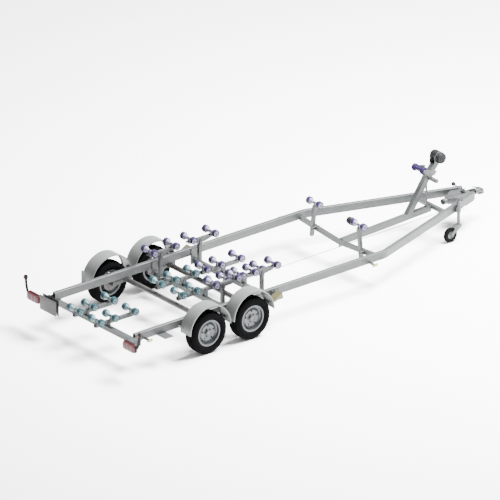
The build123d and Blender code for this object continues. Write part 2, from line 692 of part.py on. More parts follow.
# Outer bogies
for name, post_x, cross_x in BOGIES:
    for side, sign in SIDES:
        y = sign * BOGIE_Y
        pairs = [post_x - BOGIE_HALF, post_x + BOGIE_HALF]
        arm_top = BOGIE_PIVOT_Z + BOGIE_ARM_H / 2
        arm_low = BOGIE_PIVOT_Z - BOGIE_ARM_H / 2
        tip = BOGIE_HALF + BOGIE_TIP
        with BuildPart() as bogie_arm:
            with BuildSketch(side_plane(y)):
                with BuildLine():
                    Polyline(
                        (post_x - tip, arm_top), (post_x - tip, arm_top - BOGIE_TIP_H),
                        (post_x - BOGIE_WAIST, arm_low), (post_x + BOGIE_WAIST, arm_low),
                        (post_x + tip, arm_top - BOGIE_TIP_H), (post_x + tip, arm_top),
                        close=True,
                    )
                make_face()
            extrude(amount=BOGIE_ARM_W / 2, both=True)
            with Locations((post_x, y, (arm_low + arm_top) / 2 - BOGIE_ARM_T)):
                Box(2 * tip + 2, BOGIE_ARM_W - 2 * BOGIE_ARM_T, BOGIE_ARM_H, mode=Mode.SUBTRACT)
            for x in pairs:
                lug(x, y, arm_top - BOGIE_ARM_T, BOGIE_ROLLER_Z, UPRIGHT_R, UPRIGHT_T)
                cross_bore(x, y, BOGIE_ROLLER_Z, ROLLER_AXLE_R + SEAT_GAP, UPRIGHT_T)
            cross_pin(post_x, y, BOGIE_PIVOT_Z, PIVOT_R + PIVOT_SLEEVE, BOGIE_ARM_W / 2)
            cross_bore(post_x, y, BOGIE_PIVOT_Z, PIVOT_R + PIN_FIT, BOGIE_ARM_W)
        write_piece(bogie_arm, f"bogie_arm_{name}_{side}")
        with BuildPart() as bogie_rollers:
            for x in pairs:
                roller_pair(x, y, BOGIE_ROLLER_Z)
        write_piece(bogie_rollers, f"bogie_rollers_{name}_{side}")

# Front supports: posts that lean inwards, each with a roller pair
front_post_x = VEE_X - TUBE / 2 - POST / 2
with BuildPart() as front_posts:
    for sign in (1, -1):
        with BuildSketch(Plane.YZ.offset(front_post_x)):
            with BuildLine():
                foot_y = sign * FRONT_POST_FOOT_Y
                top_y = sign * FRONT_POST_TOP_Y
                Polyline(
                    (foot_y - POST / 2, FRONT_POST_FOOT_Z), (foot_y + POST / 2, FRONT_POST_FOOT_Z),
                    (top_y + POST / 2, FRONT_POST_TOP_Z), (top_y - POST / 2, FRONT_POST_TOP_Z),
                    close=True,
                )
            make_face()
        extrude(amount=POST / 2, both=True)
        lug(front_post_x, top_y, FRONT_POST_TOP_Z - LUG_SINK, FRONT_ROLLER_Z, UPRIGHT_R, UPRIGHT_T)
        cross_bore(front_post_x, top_y, FRONT_ROLLER_Z, ROLLER_AXLE_R + SEAT_GAP, UPRIGHT_T)
write_piece(front_posts, "front_posts")
with BuildPart() as front_rollers:
    for sign in (1, -1):
        roller_pair(front_post_x, sign * FRONT_POST_TOP_Y, FRONT_ROLLER_Z)
write_piece(front_rollers, "front_rollers")


def keel_top(x):
    """Height of the keel beam's top face."""
    return VEE_MID_Z + KEEL_SIZE / 2 + (x - keel_rear) * keel_slope


# Winch post: a bent tube on the keel beam, with a brace and the fork of the bow roller
post_rise = atan2(WINCH_BEND_Z - keel_top(WINCH_FOOT_X), WINCH_BEND_X - WINCH_FOOT_X)
head_rise = atan2(WINCH_TOP_Z - WINCH_BEND_Z, WINCH_TOP_X - WINCH_BEND_X)
foot_start = (WINCH_FOOT_X - FOOT_BELOW * cos(post_rise), 0,
              keel_top(WINCH_FOOT_X) - FOOT_BELOW * sin(post_rise))
bow_plate_y = BOW_L / 2 + SWING_GAP + LUG_T / 2
with BuildPart() as winch_post:
    with BuildLine():
        FilletPolyline(
            foot_start, (WINCH_BEND_X, 0, WINCH_BEND_Z),
            (WINCH_TOP_X + HEAD_ABOVE * cos(head_rise), 0, WINCH_TOP_Z + HEAD_ABOVE * sin(head_rise)),
            radius=WINCH_BEND_R,
        )
    with BuildSketch(Plane(foot_start, (0, 1, 0), (cos(post_rise), 0, sin(post_rise)))):
        Rectangle(WINCH_POST_W, WINCH_POST_W)
    sweep()
    split(bisect_by=Plane((keel_rear, 0, keel_top(keel_rear)), (1, 0, keel_slope), (-keel_slope, 0, 1)),
          keep=Keep.TOP)
    split(bisect_by=Plane.XY.offset(WINCH_TOP_Z), keep=Keep.BOTTOM)
    brace_z0 = keel_top(WINCH_BEND_X)
    brace_z1 = WINCH_BEND_Z - WINCH_POST_W / 4
    with Locations((WINCH_BEND_X, 0, (brace_z0 + brace_z1) / 2)):
        Cylinder(BRACE_R, brace_z1 - brace_z0)
    split(bisect_by=Plane((keel_rear, 0, keel_top(keel_rear)), (1, 0, keel_slope), (-keel_slope, 0, 1)),
          keep=Keep.TOP)
    for side in (1, -1):
        with BuildSketch(side_plane(side * bow_plate_y)):
            with BuildLine():
                Polyline(
                    (BOW_X - 16, BOW_Z - LUG_R + 4), (WINCH_BEND_X - 30, WINCH_BEND_Z + 40),
                    (WINCH_BEND_X + 54, WINCH_BEND_Z + 60), (WINCH_BEND_X + 90, WINCH_BEND_Z + 110),
                    (BOW_X + 8, BOW_Z + LUG_R - 3),
                    close=True,
                )
            make_face()
            with Locations((BOW_X, BOW_Z)):
                Circle(LUG_R)
        extrude(amount=LUG_T / 2, both=True)
    with Locations((WINCH_BEND_X + 42, 0, WINCH_BEND_Z + 74)):
        Box(40, 2 * bow_plate_y, 40)
    cross_pin(BOW_X, 0, BOW_Z, BOW_PIN_R, bow_plate_y + LUG_T)
    with Locations((WINCH_BEND_X + 6, -WINCH_BAR_REACH / 2, WINCH_BEND_Z)):
        Box(WINCH_BAR, WINCH_BAR_REACH, WINCH_BAR)
write_piece(winch_post, "winch_post")

# Bow roller, waisted
with BuildPart() as bow_roller:
    with BuildSketch(Plane((BOW_X, 0, BOW_Z), (1, 0, 0), (0, 0, 1))):
        with BuildLine():
            Polyline((BOW_R, -BOW_L / 2), (BOW_PIN_R + PIN_FIT, -BOW_L / 2), (BOW_PIN_R + PIN_FIT, BOW_L / 2),
                     (BOW_R, BOW_L / 2))
            ThreePointArc((BOW_R, BOW_L / 2), (BOW_WAIST_R, 0), (BOW_R, -BOW_L / 2))
        make_face()
    revolve(axis=Axis((BOW_X, 0, BOW_Z), (0, 1, 0)))
write_piece(bow_roller, "bow_roller")

# Winch: frame on the post's head, drum with crank, cover
plate_y = DRUM_L / 2 + WINCH_CLEAR + WINCH_PLATE_T / 2
frame_width = 2 * plate_y + WINCH_PLATE_T
with BuildPart() as winch_frame:
    with Locations((DRUM_X, 0, WINCH_TOP_Z + WINCH_PLATE_T / 2)):
        Box(WINCH_FRAME_L, frame_width, WINCH_PLATE_T)
    for side in (1, -1):
        with BuildSketch(side_plane(side * plate_y)):
            with BuildLine():
                Polyline(
                    (DRUM_X - WINCH_FRAME_L / 2, WINCH_TOP_Z), (DRUM_X + WINCH_FRAME_L / 2, WINCH_TOP_Z),
                    (DRUM_X + COVER_R + PLATE_PAST, DRUM_Z + PLATE_RISE),
                    (DRUM_X - COVER_R - PLATE_PAST, DRUM_Z + PLATE_RISE),
                    close=True,
                )
            make_face()
        extrude(amount=WINCH_PLATE_T / 2, both=True)
    cross_bore(DRUM_X, 0, DRUM_Z, DRUM_SHAFT_R + PIN_FIT, frame_width)
write_piece(winch_frame, "winch_frame")

with BuildPart() as winch_drum:
    cross_pin(DRUM_X, 0, DRUM_Z, DRUM_R, DRUM_L / 2)
    for side in (1, -1):
        cross_pin(DRUM_X, side * (DRUM_L - FLANGE_T) / 2, DRUM_Z, DRUM_FLANGE_R, FLANGE_T / 2)
    shaft_left = plate_y + WINCH_PLATE_T / 2 + WINCH_CLEAR + GEAR_T
    shaft_right = plate_y + WINCH_PLATE_T
    cross_pin(DRUM_X, (shaft_left - shaft_right) / 2, DRUM_Z, DRUM_SHAFT_R, (shaft_left + shaft_right) / 2)
    cross_pin(DRUM_X, shaft_left - GEAR_T / 2, DRUM_Z, GEAR_R, GEAR_T / 2)
write_piece(winch_drum, "winch_drum")

cover_w = frame_width - 2 * WINCH_PLATE_T
with BuildPart() as winch_cover:
    with BuildSketch(side_plane(0)):
        with Locations((DRUM_X, DRUM_Z)):
            Circle(COVER_R)
            Circle(COVER_R - COVER_T, mode=Mode.SUBTRACT)
        with Locations((DRUM_X, DRUM_Z - COVER_R)):
            Rectangle(2 * COVER_R, 2 * COVER_R, mode=Mode.SUBTRACT)
    extrude(amount=cover_w / 2, both=True)
write_piece(winch_cover, "winch_cover")

# Jockey wheel: clamp and outer tube on the right beam, sliding stem, swivelling fork, wheel
clamp_x0 = JOCKEY_X - JOCKEY_CLAMP_L / 2
clamp_x1 = JOCKEY_X + JOCKEY_CLAMP_L / 2
with BuildPart() as jockey_tube:
    with Locations((JOCKEY_X, JOCKEY_Y, (JOCKEY_TUBE_TOP + JOCKEY_TUBE_BOTTOM) / 2)):
        Cylinder(JOCKEY_TUBE_R, JOCKEY_TUBE_TOP - JOCKEY_TUBE_BOTTOM)
    with BuildSketch(Plane.XY.offset(BEAM_BOTTOM + JOCKEY_CLAMP_INSET)):
        with BuildLine():
            Polyline(
                (clamp_x0, -beam_y(clamp_x0) - beam_face), (clamp_x1, -beam_y(clamp_x1) - beam_face),
                (clamp_x1, JOCKEY_Y - JOCKEY_CLAMP_PAST), (clamp_x0, JOCKEY_Y - JOCKEY_CLAMP_PAST),
                close=True,
            )
        make_face()
    extrude(amount=BEAM_H - 2 * JOCKEY_CLAMP_INSET)
    with Locations((JOCKEY_X, JOCKEY_Y, (JOCKEY_TUBE_TOP - 8 + JOCKEY_TUBE_BOTTOM) / 2 - 5)):
        Cylinder(JOCKEY_STEM_R + SEAT_GAP, JOCKEY_TUBE_TOP - 8 - JOCKEY_TUBE_BOTTOM + 10, mode=Mode.SUBTRACT)
    with Locations((JOCKEY_X, JOCKEY_Y, JOCKEY_TUBE_TOP + 12)):
        Cylinder(10, 28)
    with Locations((JOCKEY_X, JOCKEY_Y - 45, JOCKEY_TUBE_TOP + 22)):
        Box(20, 110, 6)
    with Locations((JOCKEY_X, JOCKEY_Y - 92, JOCKEY_TUBE_TOP + 52)):
        Cylinder(12, 60)
write_piece(jockey_tube, "jockey_tube")

stem_top = JOCKEY_TUBE_TOP - 8 - JOCKEY_TRAVEL - 4
with BuildPart() as jockey_stem:
    with Locations((JOCKEY_X, JOCKEY_Y, (stem_top + JOCKEY_STEM_BOTTOM) / 2)):
        Cylinder(JOCKEY_STEM_R, stem_top - JOCKEY_STEM_BOTTOM)
        Cylinder(JOCKEY_STEM_R - 6, stem_top - JOCKEY_STEM_BOTTOM - 80, mode=Mode.SUBTRACT)
    with Locations((JOCKEY_X, JOCKEY_Y, JOCKEY_STEM_BOTTOM + 20)):
        Cylinder(SWIVEL_R + PIN_FIT, 44, mode=Mode.SUBTRACT)
write_piece(jockey_stem, "jockey_stem")

wheel_x = JOCKEY_X - JOCKEY_TRAIL
fork_y = JOCKEY_WHEEL_W / 2 + FORK_GAP + FORK_T / 2
crown_top = JOCKEY_STEM_BOTTOM - 1
with BuildPart() as jockey_fork:
    with Locations((JOCKEY_X, JOCKEY_Y, crown_top - FORK_T / 2)):
        Box(60, 2 * fork_y + FORK_T, FORK_T)
    with Locations((JOCKEY_X, JOCKEY_Y, crown_top + 17)):
        Cylinder(SWIVEL_R, 36)
    for side in (1, -1):
        with BuildSketch(side_plane(JOCKEY_Y + side * fork_y)):
            with BuildLine():
                Polyline(
                    (JOCKEY_X + 30, crown_top), (JOCKEY_X - 40, crown_top), (wheel_x - 16, JOCKEY_WHEEL_R + 12),
                    (wheel_x, JOCKEY_WHEEL_R - 20), (wheel_x + 20, JOCKEY_WHEEL_R - 10),
                    (JOCKEY_X + 30, crown_top - 30),
                    close=True,
                )
            make_face()
        extrude(amount=FORK_T / 2, both=True)
    cross_pin(wheel_x, JOCKEY_Y, JOCKEY_WHEEL_R, JOCKEY_PIN_R, fork_y + FORK_T)
write_piece(jockey_fork, "jockey_fork")

with BuildPart() as jockey_wheel:
    with BuildSketch(Plane((wheel_x, JOCKEY_Y, JOCKEY_WHEEL_R), (1, 0, 0), (0, 0, 1))):
        with BuildLine():
            half = JOCKEY_WHEEL_W / 2
            shoulder_r = JOCKEY_WHEEL_R - JOCKEY_DISH
            wall_r = JOCKEY_WHEEL_R - JOCKEY_WALL
            bore_r = JOCKEY_PIN_R + PIN_FIT
            Polyline(
                (shoulder_r, -half), (wall_r, SHALLOW - half), (wall_r - SHALLOW_RUN, JOCKEY_DISH - half),
                (JOCKEY_HUB_FOOT_R, JOCKEY_DISH - half), (JOCKEY_HUB_R, -half), (bore_r, -half),
                (bore_r, half), (JOCKEY_HUB_R, half), (JOCKEY_HUB_FOOT_R, half - JOCKEY_DISH),
                (wall_r - SHALLOW_RUN, half - JOCKEY_DISH), (wall_r, half - SHALLOW),
                (shoulder_r, half), (JOCKEY_WHEEL_R, half - JOCKEY_DISH), (JOCKEY_WHEEL_R, JOCKEY_DISH - half),
                close=True,
            )
        make_face()
    revolve(axis=Axis((wheel_x, JOCKEY_Y, JOCKEY_WHEEL_R), (0, 1, 0)))
write_piece(jockey_wheel, "jockey_wheel")

# Overrun coupling between the nose plates, with the drawbar through it
housing_front = NOSE_X + HOUSING_AHEAD
with BuildPart() as overrun_housing:
    with Locations(((HOUSING_REAR + housing_front) / 2, 0, BEAM_Z)):
        Box(housing_front - HOUSING_REAR, HOUSING_W, BEAM_H - HOUSING_SHY)
    with Locations(Location((housing_front + COLLAR_L / 2, 0, DRAWBAR_Z), (0, 90, 0))):
        Cylinder(COLLAR_R, COLLAR_L)
    drawbar_front = housing_front + DRAWBAR_AHEAD
    with Locations(Location(((DRAWBAR_REAR + drawbar_front) / 2, 0, DRAWBAR_Z), (0, 90, 0))):
        Cylinder(DRAWBAR_R, drawbar_front - DRAWBAR_REAR)
write_piece(overrun_housing, "overrun_housing")

with BuildPart() as coupling_head:
    head_rear = housing_front + HEAD_AHEAD
    with BuildSketch(side_plane(0)):
        with BuildLine():
            Polyline(
                (head_rear, DRAWBAR_Z + 36), (head_rear + 90, DRAWBAR_Z + 36), (COUPLING_FRONT - 18, DRAWBAR_Z + 16),
                (COUPLING_FRONT, DRAWBAR_Z - 20), (COUPLING_FRONT, DRAWBAR_Z - 52), (head_rear + 60, DRAWBAR_Z - 52),
                (head_rear + 40, DRAWBAR_Z - 34), (head_rear, DRAWBAR_Z - 34),
                close=True,
            )
        make_face()
    extrude(amount=HEAD_W / 2, both=True)
    with Locations((COUPLING_FRONT - 46, 0, DRAWBAR_Z - 40)):
        Cylinder(BALL_R, 60, mode=Mode.SUBTRACT)
    with Locations(Location((head_rear + 35, 0, DRAWBAR_Z), (0, 90, 0))):
        Cylinder(DRAWBAR_R + SEAT_GAP, 70, mode=Mode.SUBTRACT)
    with BuildSketch(side_plane(0)):
        with BuildLine():
            Polyline(
                (head_rear + 60, DRAWBAR_Z + 34), (COUPLING_FRONT - 40, DRAWBAR_Z + 30),
                (COUPLING_FRONT - 40, DRAWBAR_Z + 60), (head_rear - 40, DRAWBAR_Z + 88),
                (head_rear - 40, DRAWBAR_Z + 72),
                close=True,
            )
        make_face()
    extrude(amount=18, both=True)
write_piece(coupling_head, "coupling_head")

# Handbrake lever on the housing's right side, and the brake rod with its lever and hangers
with BuildPart() as handbrake_lever:
    lever_y = -HOUSING_W / 2 - LEVER_GAP - LEVER_T / 2
    lever_end = BEAM_REAR + LEVER_END_AT
    lever_front = NOSE_X - LEVER_FRONT
    with BuildSketch(side_plane(lever_y)):
        with BuildLine():
            Polyline(
                (NOSE_X - LEVER_KNEE, BEAM_TOP + LEVER_KNEE_RISE), (lever_front, BEAM_TOP + LEVER_FOOT),
                (lever_front, BEAM_TOP + LEVER_FOOT + LEVER_FOOT_H),
                (lever_end, BEAM_TOP + LEVER_RISE), (lever_end, BEAM_TOP + LEVER_RISE - LEVER_H),
                close=True,
            )
        make_face()
    extrude(amount=LEVER_T / 2, both=True)
write_piece(handbrake_lever, "handbrake_lever")

rod_rear = WHEELS[1][1] + ARM_LENGTH + AXLE_R + ROD_REAR_GAP
rod_front = BEAM_REAR + ROD_FRONT_AT
with BuildPart() as brake_rod:
    with Locations(Location(((rod_rear + rod_front) / 2, 0, (BRAKE_ROD_REAR_Z + BRAKE_ROD_Z) / 2),
                            (0, 90 - degrees(atan2(BRAKE_ROD_Z - BRAKE_ROD_REAR_Z, rod_front - rod_rear)), 0))):
        Cylinder(BRAKE_ROD_R, rod_front - rod_rear)
    rod_arm_z0 = BRAKE_ROD_Z - ROD_ARM_BELOW
    rod_arm_z1 = BEAM_BOTTOM - PLATE_T
    with Locations((rod_front, 0, (rod_arm_z0 + rod_arm_z1) / 2)):
        Box(ROD_ARM_W, ROD_ARM_T, rod_arm_z1 - rod_arm_z0)
    hanger_low = BRAKE_ROD_Z - ROD_HANGER
    hanger_top = VEE_MID_Z - TUBE / 2
    with Locations((VEE_X, 0, (hanger_low + hanger_top) / 2)):
        Box(ROD_HANGER, ROD_HANGER, hanger_top - hanger_low)
    with Locations((rod_rear, 0, BRAKE_ROD_REAR_Z)):
        Box(*EQUALISER)
write_piece(brake_rod, "brake_rod")

# Rear light brackets on the beams' outer faces, with the number plate's holder on the left
bracket_x = LAMP_BACK + LAMP_D
with BuildPart() as light_brackets:
    for side, sign in SIDES:
        lap_x = BEAM_REAR + BRACKET_LAP
        with Locations(((bracket_x + lap_x) / 2, sign * (BEAM_OUTER + LIGHT_PLATE_T), LAMP_Z)):
            Box(lap_x - bracket_x, 2 * LIGHT_PLATE_T, BRACKET_H)
        plate_edge = NUMBER_PLATE_Y - NUMBER_PLATE_W / 2
        inner_y = plate_edge + NUMBER_PLATE_TAB if sign > 0 else LAMP_Y - LAMP_W / 2
        outer_y = LAMP_Y + LAMP_W / 2 - BRACKET_TAB
        with Locations((bracket_x + LIGHT_PLATE_T / 2, sign * (inner_y + outer_y) / 2, LAMP_Z)):
            Box(LIGHT_PLATE_T, outer_y - inner_y, BRACKET_H)
        for marker_x in SIDE_MARKER_X:
            with Locations((marker_x, sign * (BEAM_OUTER + MARKER_ARM / 2), BEAM_BOTTOM + MARKER_ARM_H / 2)):
                Box(MARKER_ARM_T, MARKER_ARM, MARKER_ARM_H)
        step_y = BEAM_OUTER - STEP_LAP + STEP[1] / 2
        with Locations((BEAM_REAR + STEP_AT, sign * step_y, BEAM_BOTTOM - STEP[2] / 2)):
            Box(*STEP)
    with Locations((bracket_x - LIGHT_PLATE_T / 2, NUMBER_PLATE_Y, LAMP_Z)):
        Box(LIGHT_PLATE_T, NUMBER_PLATE_W, NUMBER_PLATE_H)
write_piece(light_brackets, "light_brackets")

with BuildPart() as lamp_housings:
    for sign in (1, -1):
        with Locations((bracket_x - (LAMP_D - LENS_D) / 2, sign * LAMP_Y, LAMP_Z)):
            Box(LAMP_D - LENS_D, LAMP_W, LAMP_H)
        root_y = LAMP_Y + LAMP_W / 2
        with BuildSketch(Plane.YZ.offset(bracket_x - (LAMP_D - LENS_D) / 2)):
            with BuildLine():
                Polyline(
                    (sign * (root_y - ARM_ROOT_IN), LAMP_Z - ARM_ROOT_LOW),
                    (sign * (root_y + ARM_ROOT_OUT), LAMP_Z - ARM_ROOT_LOW),
                    (sign * (root_y + MARKER_REACH), LAMP_Z + MARKER_RISE),
                    (sign * (root_y + MARKER_REACH - ARM_TIP), LAMP_Z + MARKER_RISE),
                    (sign * (root_y - ARM_ROOT_IN), LAMP_Z + ARM_ROOT_HIGH),
                    close=True,
                )
            make_face()
        extrude(amount=ARM_T / 2, both=True)
write_piece(lamp_housings, "lamp_housings")

with BuildPart() as lamp_lenses:
    for sign in (1, -1):
        with Locations((LAMP_BACK + LENS_D / 2, sign * LAMP_Y, LAMP_Z)):
            Box(LENS_D, LAMP_W - 2 * LENS_MARGIN, LAMP_H - 2 * LENS_MARGIN)
write_piece(lamp_lenses, "lamp_lenses")

with BuildPart() as side_markers:
    for sign in (1, -1):
        for marker_x in SIDE_MARKER_X:
            marker_y = BEAM_OUTER + MARKER_ARM + MARKER[1] / 2
            with Locations((marker_x, sign * marker_y, BEAM_BOTTOM + MARKER_ARM_H / 2 + MARKER_RAISE)):
                Box(*MARKER)
write_piece(side_markers, "side_markers")

with BuildPart() as wheel_chocks:
    for sign in (1, -1):
        with BuildSketch(side_plane(sign * (BEAM_OUTER + CHOCK_OUT))):
            with BuildLine():
                Polyline(
                    (CHOCK_X - CHOCK_HALF, BEAM_BOTTOM), (CHOCK_X + CHOCK_HALF, BEAM_BOTTOM),
                    (CHOCK_X + CHOCK_LEAN, BEAM_BOTTOM + CHOCK_RISE),
                    close=True,
                )
            make_face()
        extrude(amount=CHOCK_W / 2, both=True)
        holder_y = BEAM_OUTER + CHOCK_HOLDER[1] / 2
        with Locations((CHOCK_X, sign * holder_y, BEAM_BOTTOM + CHOCK_HOLDER_UP)):
            Box(*CHOCK_HOLDER)
write_piece(wheel_chocks, "wheel_chocks")
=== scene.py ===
import json
import math

import bmesh
import bpy
from mathutils import Matrix, Vector


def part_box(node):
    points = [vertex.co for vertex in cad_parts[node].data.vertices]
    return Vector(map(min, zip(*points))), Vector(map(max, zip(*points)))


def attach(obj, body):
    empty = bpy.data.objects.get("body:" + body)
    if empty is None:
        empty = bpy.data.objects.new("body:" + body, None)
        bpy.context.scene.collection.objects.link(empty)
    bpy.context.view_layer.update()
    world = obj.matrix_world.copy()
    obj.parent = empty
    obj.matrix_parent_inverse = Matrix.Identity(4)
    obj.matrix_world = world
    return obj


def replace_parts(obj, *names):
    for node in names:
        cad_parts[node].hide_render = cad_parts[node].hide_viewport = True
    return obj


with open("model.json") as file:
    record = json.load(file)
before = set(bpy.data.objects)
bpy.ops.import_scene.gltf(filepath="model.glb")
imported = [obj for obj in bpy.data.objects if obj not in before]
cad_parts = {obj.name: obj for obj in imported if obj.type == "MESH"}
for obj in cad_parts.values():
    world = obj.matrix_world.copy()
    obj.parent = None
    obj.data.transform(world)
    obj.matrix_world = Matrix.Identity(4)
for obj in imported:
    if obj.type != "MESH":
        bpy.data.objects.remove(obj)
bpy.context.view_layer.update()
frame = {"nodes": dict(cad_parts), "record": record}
NODES = frame["nodes"]


def node_tree(name):
    """A new material with its node tree and its surface shader."""
    material = bpy.data.materials.new(name)
    material.use_nodes = True
    nodes = material.node_tree.nodes
    return material, material.node_tree, nodes["Principled BSDF"]


def texture(tree, kind, scale, **settings):
    """A texture node in the piece's own coordinates."""
    coordinates = tree.nodes.new("ShaderNodeTexCoord")
    node = tree.nodes.new(kind)
    tree.links.new(coordinates.outputs["Object"], node.inputs["Vector"])
    node.inputs["Scale"].default_value = scale
    for key, value in settings.items():
        node.inputs[key].default_value = value
    return node


def ramp(tree, source, stops):
    """A colour ramp driven by a texture value; stops are (position, colour)."""
    node = tree.nodes.new("ShaderNodeValToRGB")
    tree.links.new(source, node.inputs["Fac"])
    elements = node.color_ramp.elements
    while len(elements) < len(stops):
        elements.new(0.5)
    for element, (position, colour) in zip(elements, stops):
        element.position = position
        element.color = (*colour, 1.0)
    return node.outputs["Color"]


def blend_colours(tree, factor, first, second, mode="MIX"):
    node = tree.nodes.new("ShaderNodeMix")
    node.data_type = "RGBA"
    node.blend_type = mode
    for socket, value in (("Factor_Float", factor), ("A_Color", first), ("B_Color", second)):
        target = next(s for s in node.inputs if s.identifier == socket)
        if isinstance(value, (float, int)):
            target.default_value = value
        elif isinstance(value, tuple):
            target.default_value = (*value, 1.0)
        else:
            tree.links.new(value, target)
    return next(s for s in node.outputs if s.identifier == "Result_Color")


def bump(tree, shader, height, strength, distance):
    node = tree.nodes.new("ShaderNodeBump")
    node.inputs["Strength"].default_value = strength
    node.inputs["Distance"].default_value = distance
    tree.links.new(height, node.inputs["Height"])
    tree.links.new(node.outputs["Normal"], shader.inputs["Normal"])


def grey(value):
    return (value, value, value)


ZINC_SHINE = 0.3


def zinc(name, tint, metallic=0.55, roughness=(0.34, 0.52), spangle=0.10, scale=42.0, streaks=0.05):
    """Galvanised or plated steel: crystal spangle, soft blotches and fine grain."""
    material, tree, shader = node_tree(name)
    shader.inputs["Metallic"].default_value = metallic
    shader.inputs["Specular IOR Level"].default_value = ZINC_SHINE
    crystals = texture(tree, "ShaderNodeTexVoronoi", scale)
    crystal_tone = tree.nodes.new("ShaderNodeSeparateColor")
    tree.links.new(crystals.outputs["Color"], crystal_tone.inputs["Color"])
    dark = tuple(c * (1 - spangle) for c in tint)
    light = tuple(min(1, c * (1 + spangle)) for c in tint)
    tone = ramp(tree, crystal_tone.outputs["Red"], ((0.0, dark), (1.0, light)))
    cloud = texture(tree, "ShaderNodeTexNoise", 3.2, Detail=4.0, Roughness=0.6)
    shade = ramp(tree, cloud.outputs["Fac"], ((0.30, grey(1 - 2.2 * streaks)), (0.70, grey(1.0))))
    tree.links.new(blend_colours(tree, 1.0, tone, shade, "MULTIPLY"), shader.inputs["Base Color"])
    gloss = texture(tree, "ShaderNodeTexNoise", 9.0, Detail=5.0)
    level = tree.nodes.new("ShaderNodeMapRange")
    level.inputs["To Min"].default_value = roughness[0]
    level.inputs["To Max"].default_value = roughness[1]
    tree.links.new(gloss.outputs["Fac"], level.inputs["Value"])
    tree.links.new(level.outputs["Result"], shader.inputs["Roughness"])
    grain = texture(tree, "ShaderNodeTexNoise", 160.0, Detail=3.0)
    bump(tree, shader, grain.outputs["Fac"], 0.12, 0.0006)
    return material


def moulded(name, colour, roughness=0.55, mottle=0.18, grain=220.0, depth=0.25, coat=0.0, shine=0.5):
    """Rubber or plastic: slight tone changes and a fine moulded grain."""
    material, tree, shader = node_tree(name)
    shader.inputs["Roughness"].default_value = roughness
    shader.inputs["Coat Weight"].default_value = coat
    shader.inputs["Specular IOR Level"].default_value = shine
    cloud = texture(tree, "ShaderNodeTexNoise", 14.0, Detail=6.0, Roughness=0.65)
    dark = tuple(c * (1 - mottle) for c in colour)
    light = tuple(min(1, c * (1 + mottle)) for c in colour)
    tone = ramp(tree, cloud.outputs["Fac"], ((0.32, dark), (0.68, light)))
    tree.links.new(tone, shader.inputs["Base Color"])
    skin = texture(tree, "ShaderNodeTexNoise", grain, Detail=2.0)
    bump(tree, shader, skin.outputs["Fac"], depth, 0.0005)
    return material


# Places read from the frame
WHEEL_NAMES = ("rear_left", "rear_right", "front_left", "front_right")
jockey_low, jockey_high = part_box("jockey_wheel")
JOCKEY_CENTRE = tuple((a + b) / 2 for a, b in zip(jockey_low, jockey_high))

MATERIALS = {
    "galvanised_steel": zinc("galvanised_steel", (0.056, 0.0605, 0.0605), metallic=0.35),
    "axle_steel": zinc("axle_steel", (0.045, 0.044, 0.043), metallic=0.2, spangle=0.04),
    "mudguard_steel": zinc("mudguard_steel", (0.1147, 0.119, 0.119), metallic=0.15, spangle=0.03),
    "rim_paint": zinc("rim_paint", (0.0575, 0.0625, 0.066), metallic=0.35, roughness=(0.30, 0.38),
                      spangle=0.02),
    "tyre": moulded("tyre", (0.0016, 0.0016, 0.0018), roughness=0.9, shine=0.03),
    # Roller treads: darker copies of the roller colours, as painted shade
    "teal_roller": moulded("teal_roller", (0.012, 0.038, 0.045), roughness=0.55, mottle=0.12, shine=0.2),
    "violet_roller": moulded("violet_roller", (0.014, 0.010, 0.037), roughness=0.55, mottle=0.12, shine=0.2),
    "bow_roller": moulded("bow_roller", (0.010, 0.0055, 0.030), roughness=0.6, shine=0.08),
    "winch_steel": zinc("winch_steel", (0.075, 0.079, 0.079)),
    "black_plastic": moulded("black_plastic", (0.0055, 0.0055, 0.006), roughness=0.6, shine=0.15),
    "jockey_rubber": moulded("jockey_rubber", (0.0022, 0.0022, 0.0022), roughness=0.85, shine=0.04),
    "coupling_steel": zinc("coupling_steel", (0.0825, 0.0875, 0.0875)),
    "rod_steel": zinc("rod_steel", (0.1, 0.105, 0.105)),
    "red_lens": moulded("red_lens", (0.055, 0.0035, 0.006), roughness=0.3, coat=0.1, shine=0.25),
    "amber_lens": moulded("amber_lens", (0.26, 0.24, 0.085), roughness=0.3, coat=0.1),
    "chock_zinc": zinc("chock_zinc", (0.0875, 0.0826, 0.042), metallic=0.3),
}
# Cores and dished faces of the rollers: paler copies of the same roller colours, as painted light
PAINTED_LIGHT_CORE_MATERIALS = {
    "teal_roller": moulded("teal_core", (0.076, 0.132, 0.148), roughness=0.38, mottle=0.08),
    "violet_roller": moulded("violet_core", (0.132, 0.12, 0.188), roughness=0.38, mottle=0.08),
}

SLOTS = {part["node"]: part["material_slot"] for part in frame["record"]["subparts"]}
for node_name, obj in NODES.items():
    obj.data.materials.clear()
    obj.data.materials.append(MATERIALS[SLOTS[node_name]])

# The V-shaped cross member lies in the shade of its neighbours; its zinc is painted darker, as painted shade
# Painted shade: a darker copy of the galvanised zinc
NODES["cross_vee"].data.materials[0] = zinc("vee_zinc", (0.0375, 0.041, 0.039), metallic=0.3)


# Mesh tools
def along(direction, place):
    """Matrix that stands local z along the direction, at the place."""
    turn = Vector(direction).to_track_quat("Z", "Y").to_matrix().to_4x4()
    return Matrix.Translation(Vector(place)) @ turn


def circle(steps, radius, height=0.0):
    """Points of a circle about local z."""
    angles = [2 * math.pi * i / steps for i in range(steps)]
    return [Vector((radius * math.cos(a), radius * math.sin(a), height)) for a in angles]


def skin(bm, rings, closed=False):
    """Faces between rings of points; a ring of one point is a tip."""
    rows = [[bm.verts.new(point) for point in ring] for ring in rings]
    pairs = list(zip(rows, rows[1:]))
    if closed:
        pairs.append((rows[-1], rows[0]))
    for low, high in pairs:
        steps = max(len(low), len(high))
        for i in range(steps):
            j = (i + 1) % steps
            corners = []
            for vertex in (low[i % len(low)], low[j % len(low)], high[j % len(high)], high[i % len(high)]):
                if vertex not in corners:
                    corners.append(vertex)
            if len(corners) > 2:
                bm.faces.new(corners)
    return rows


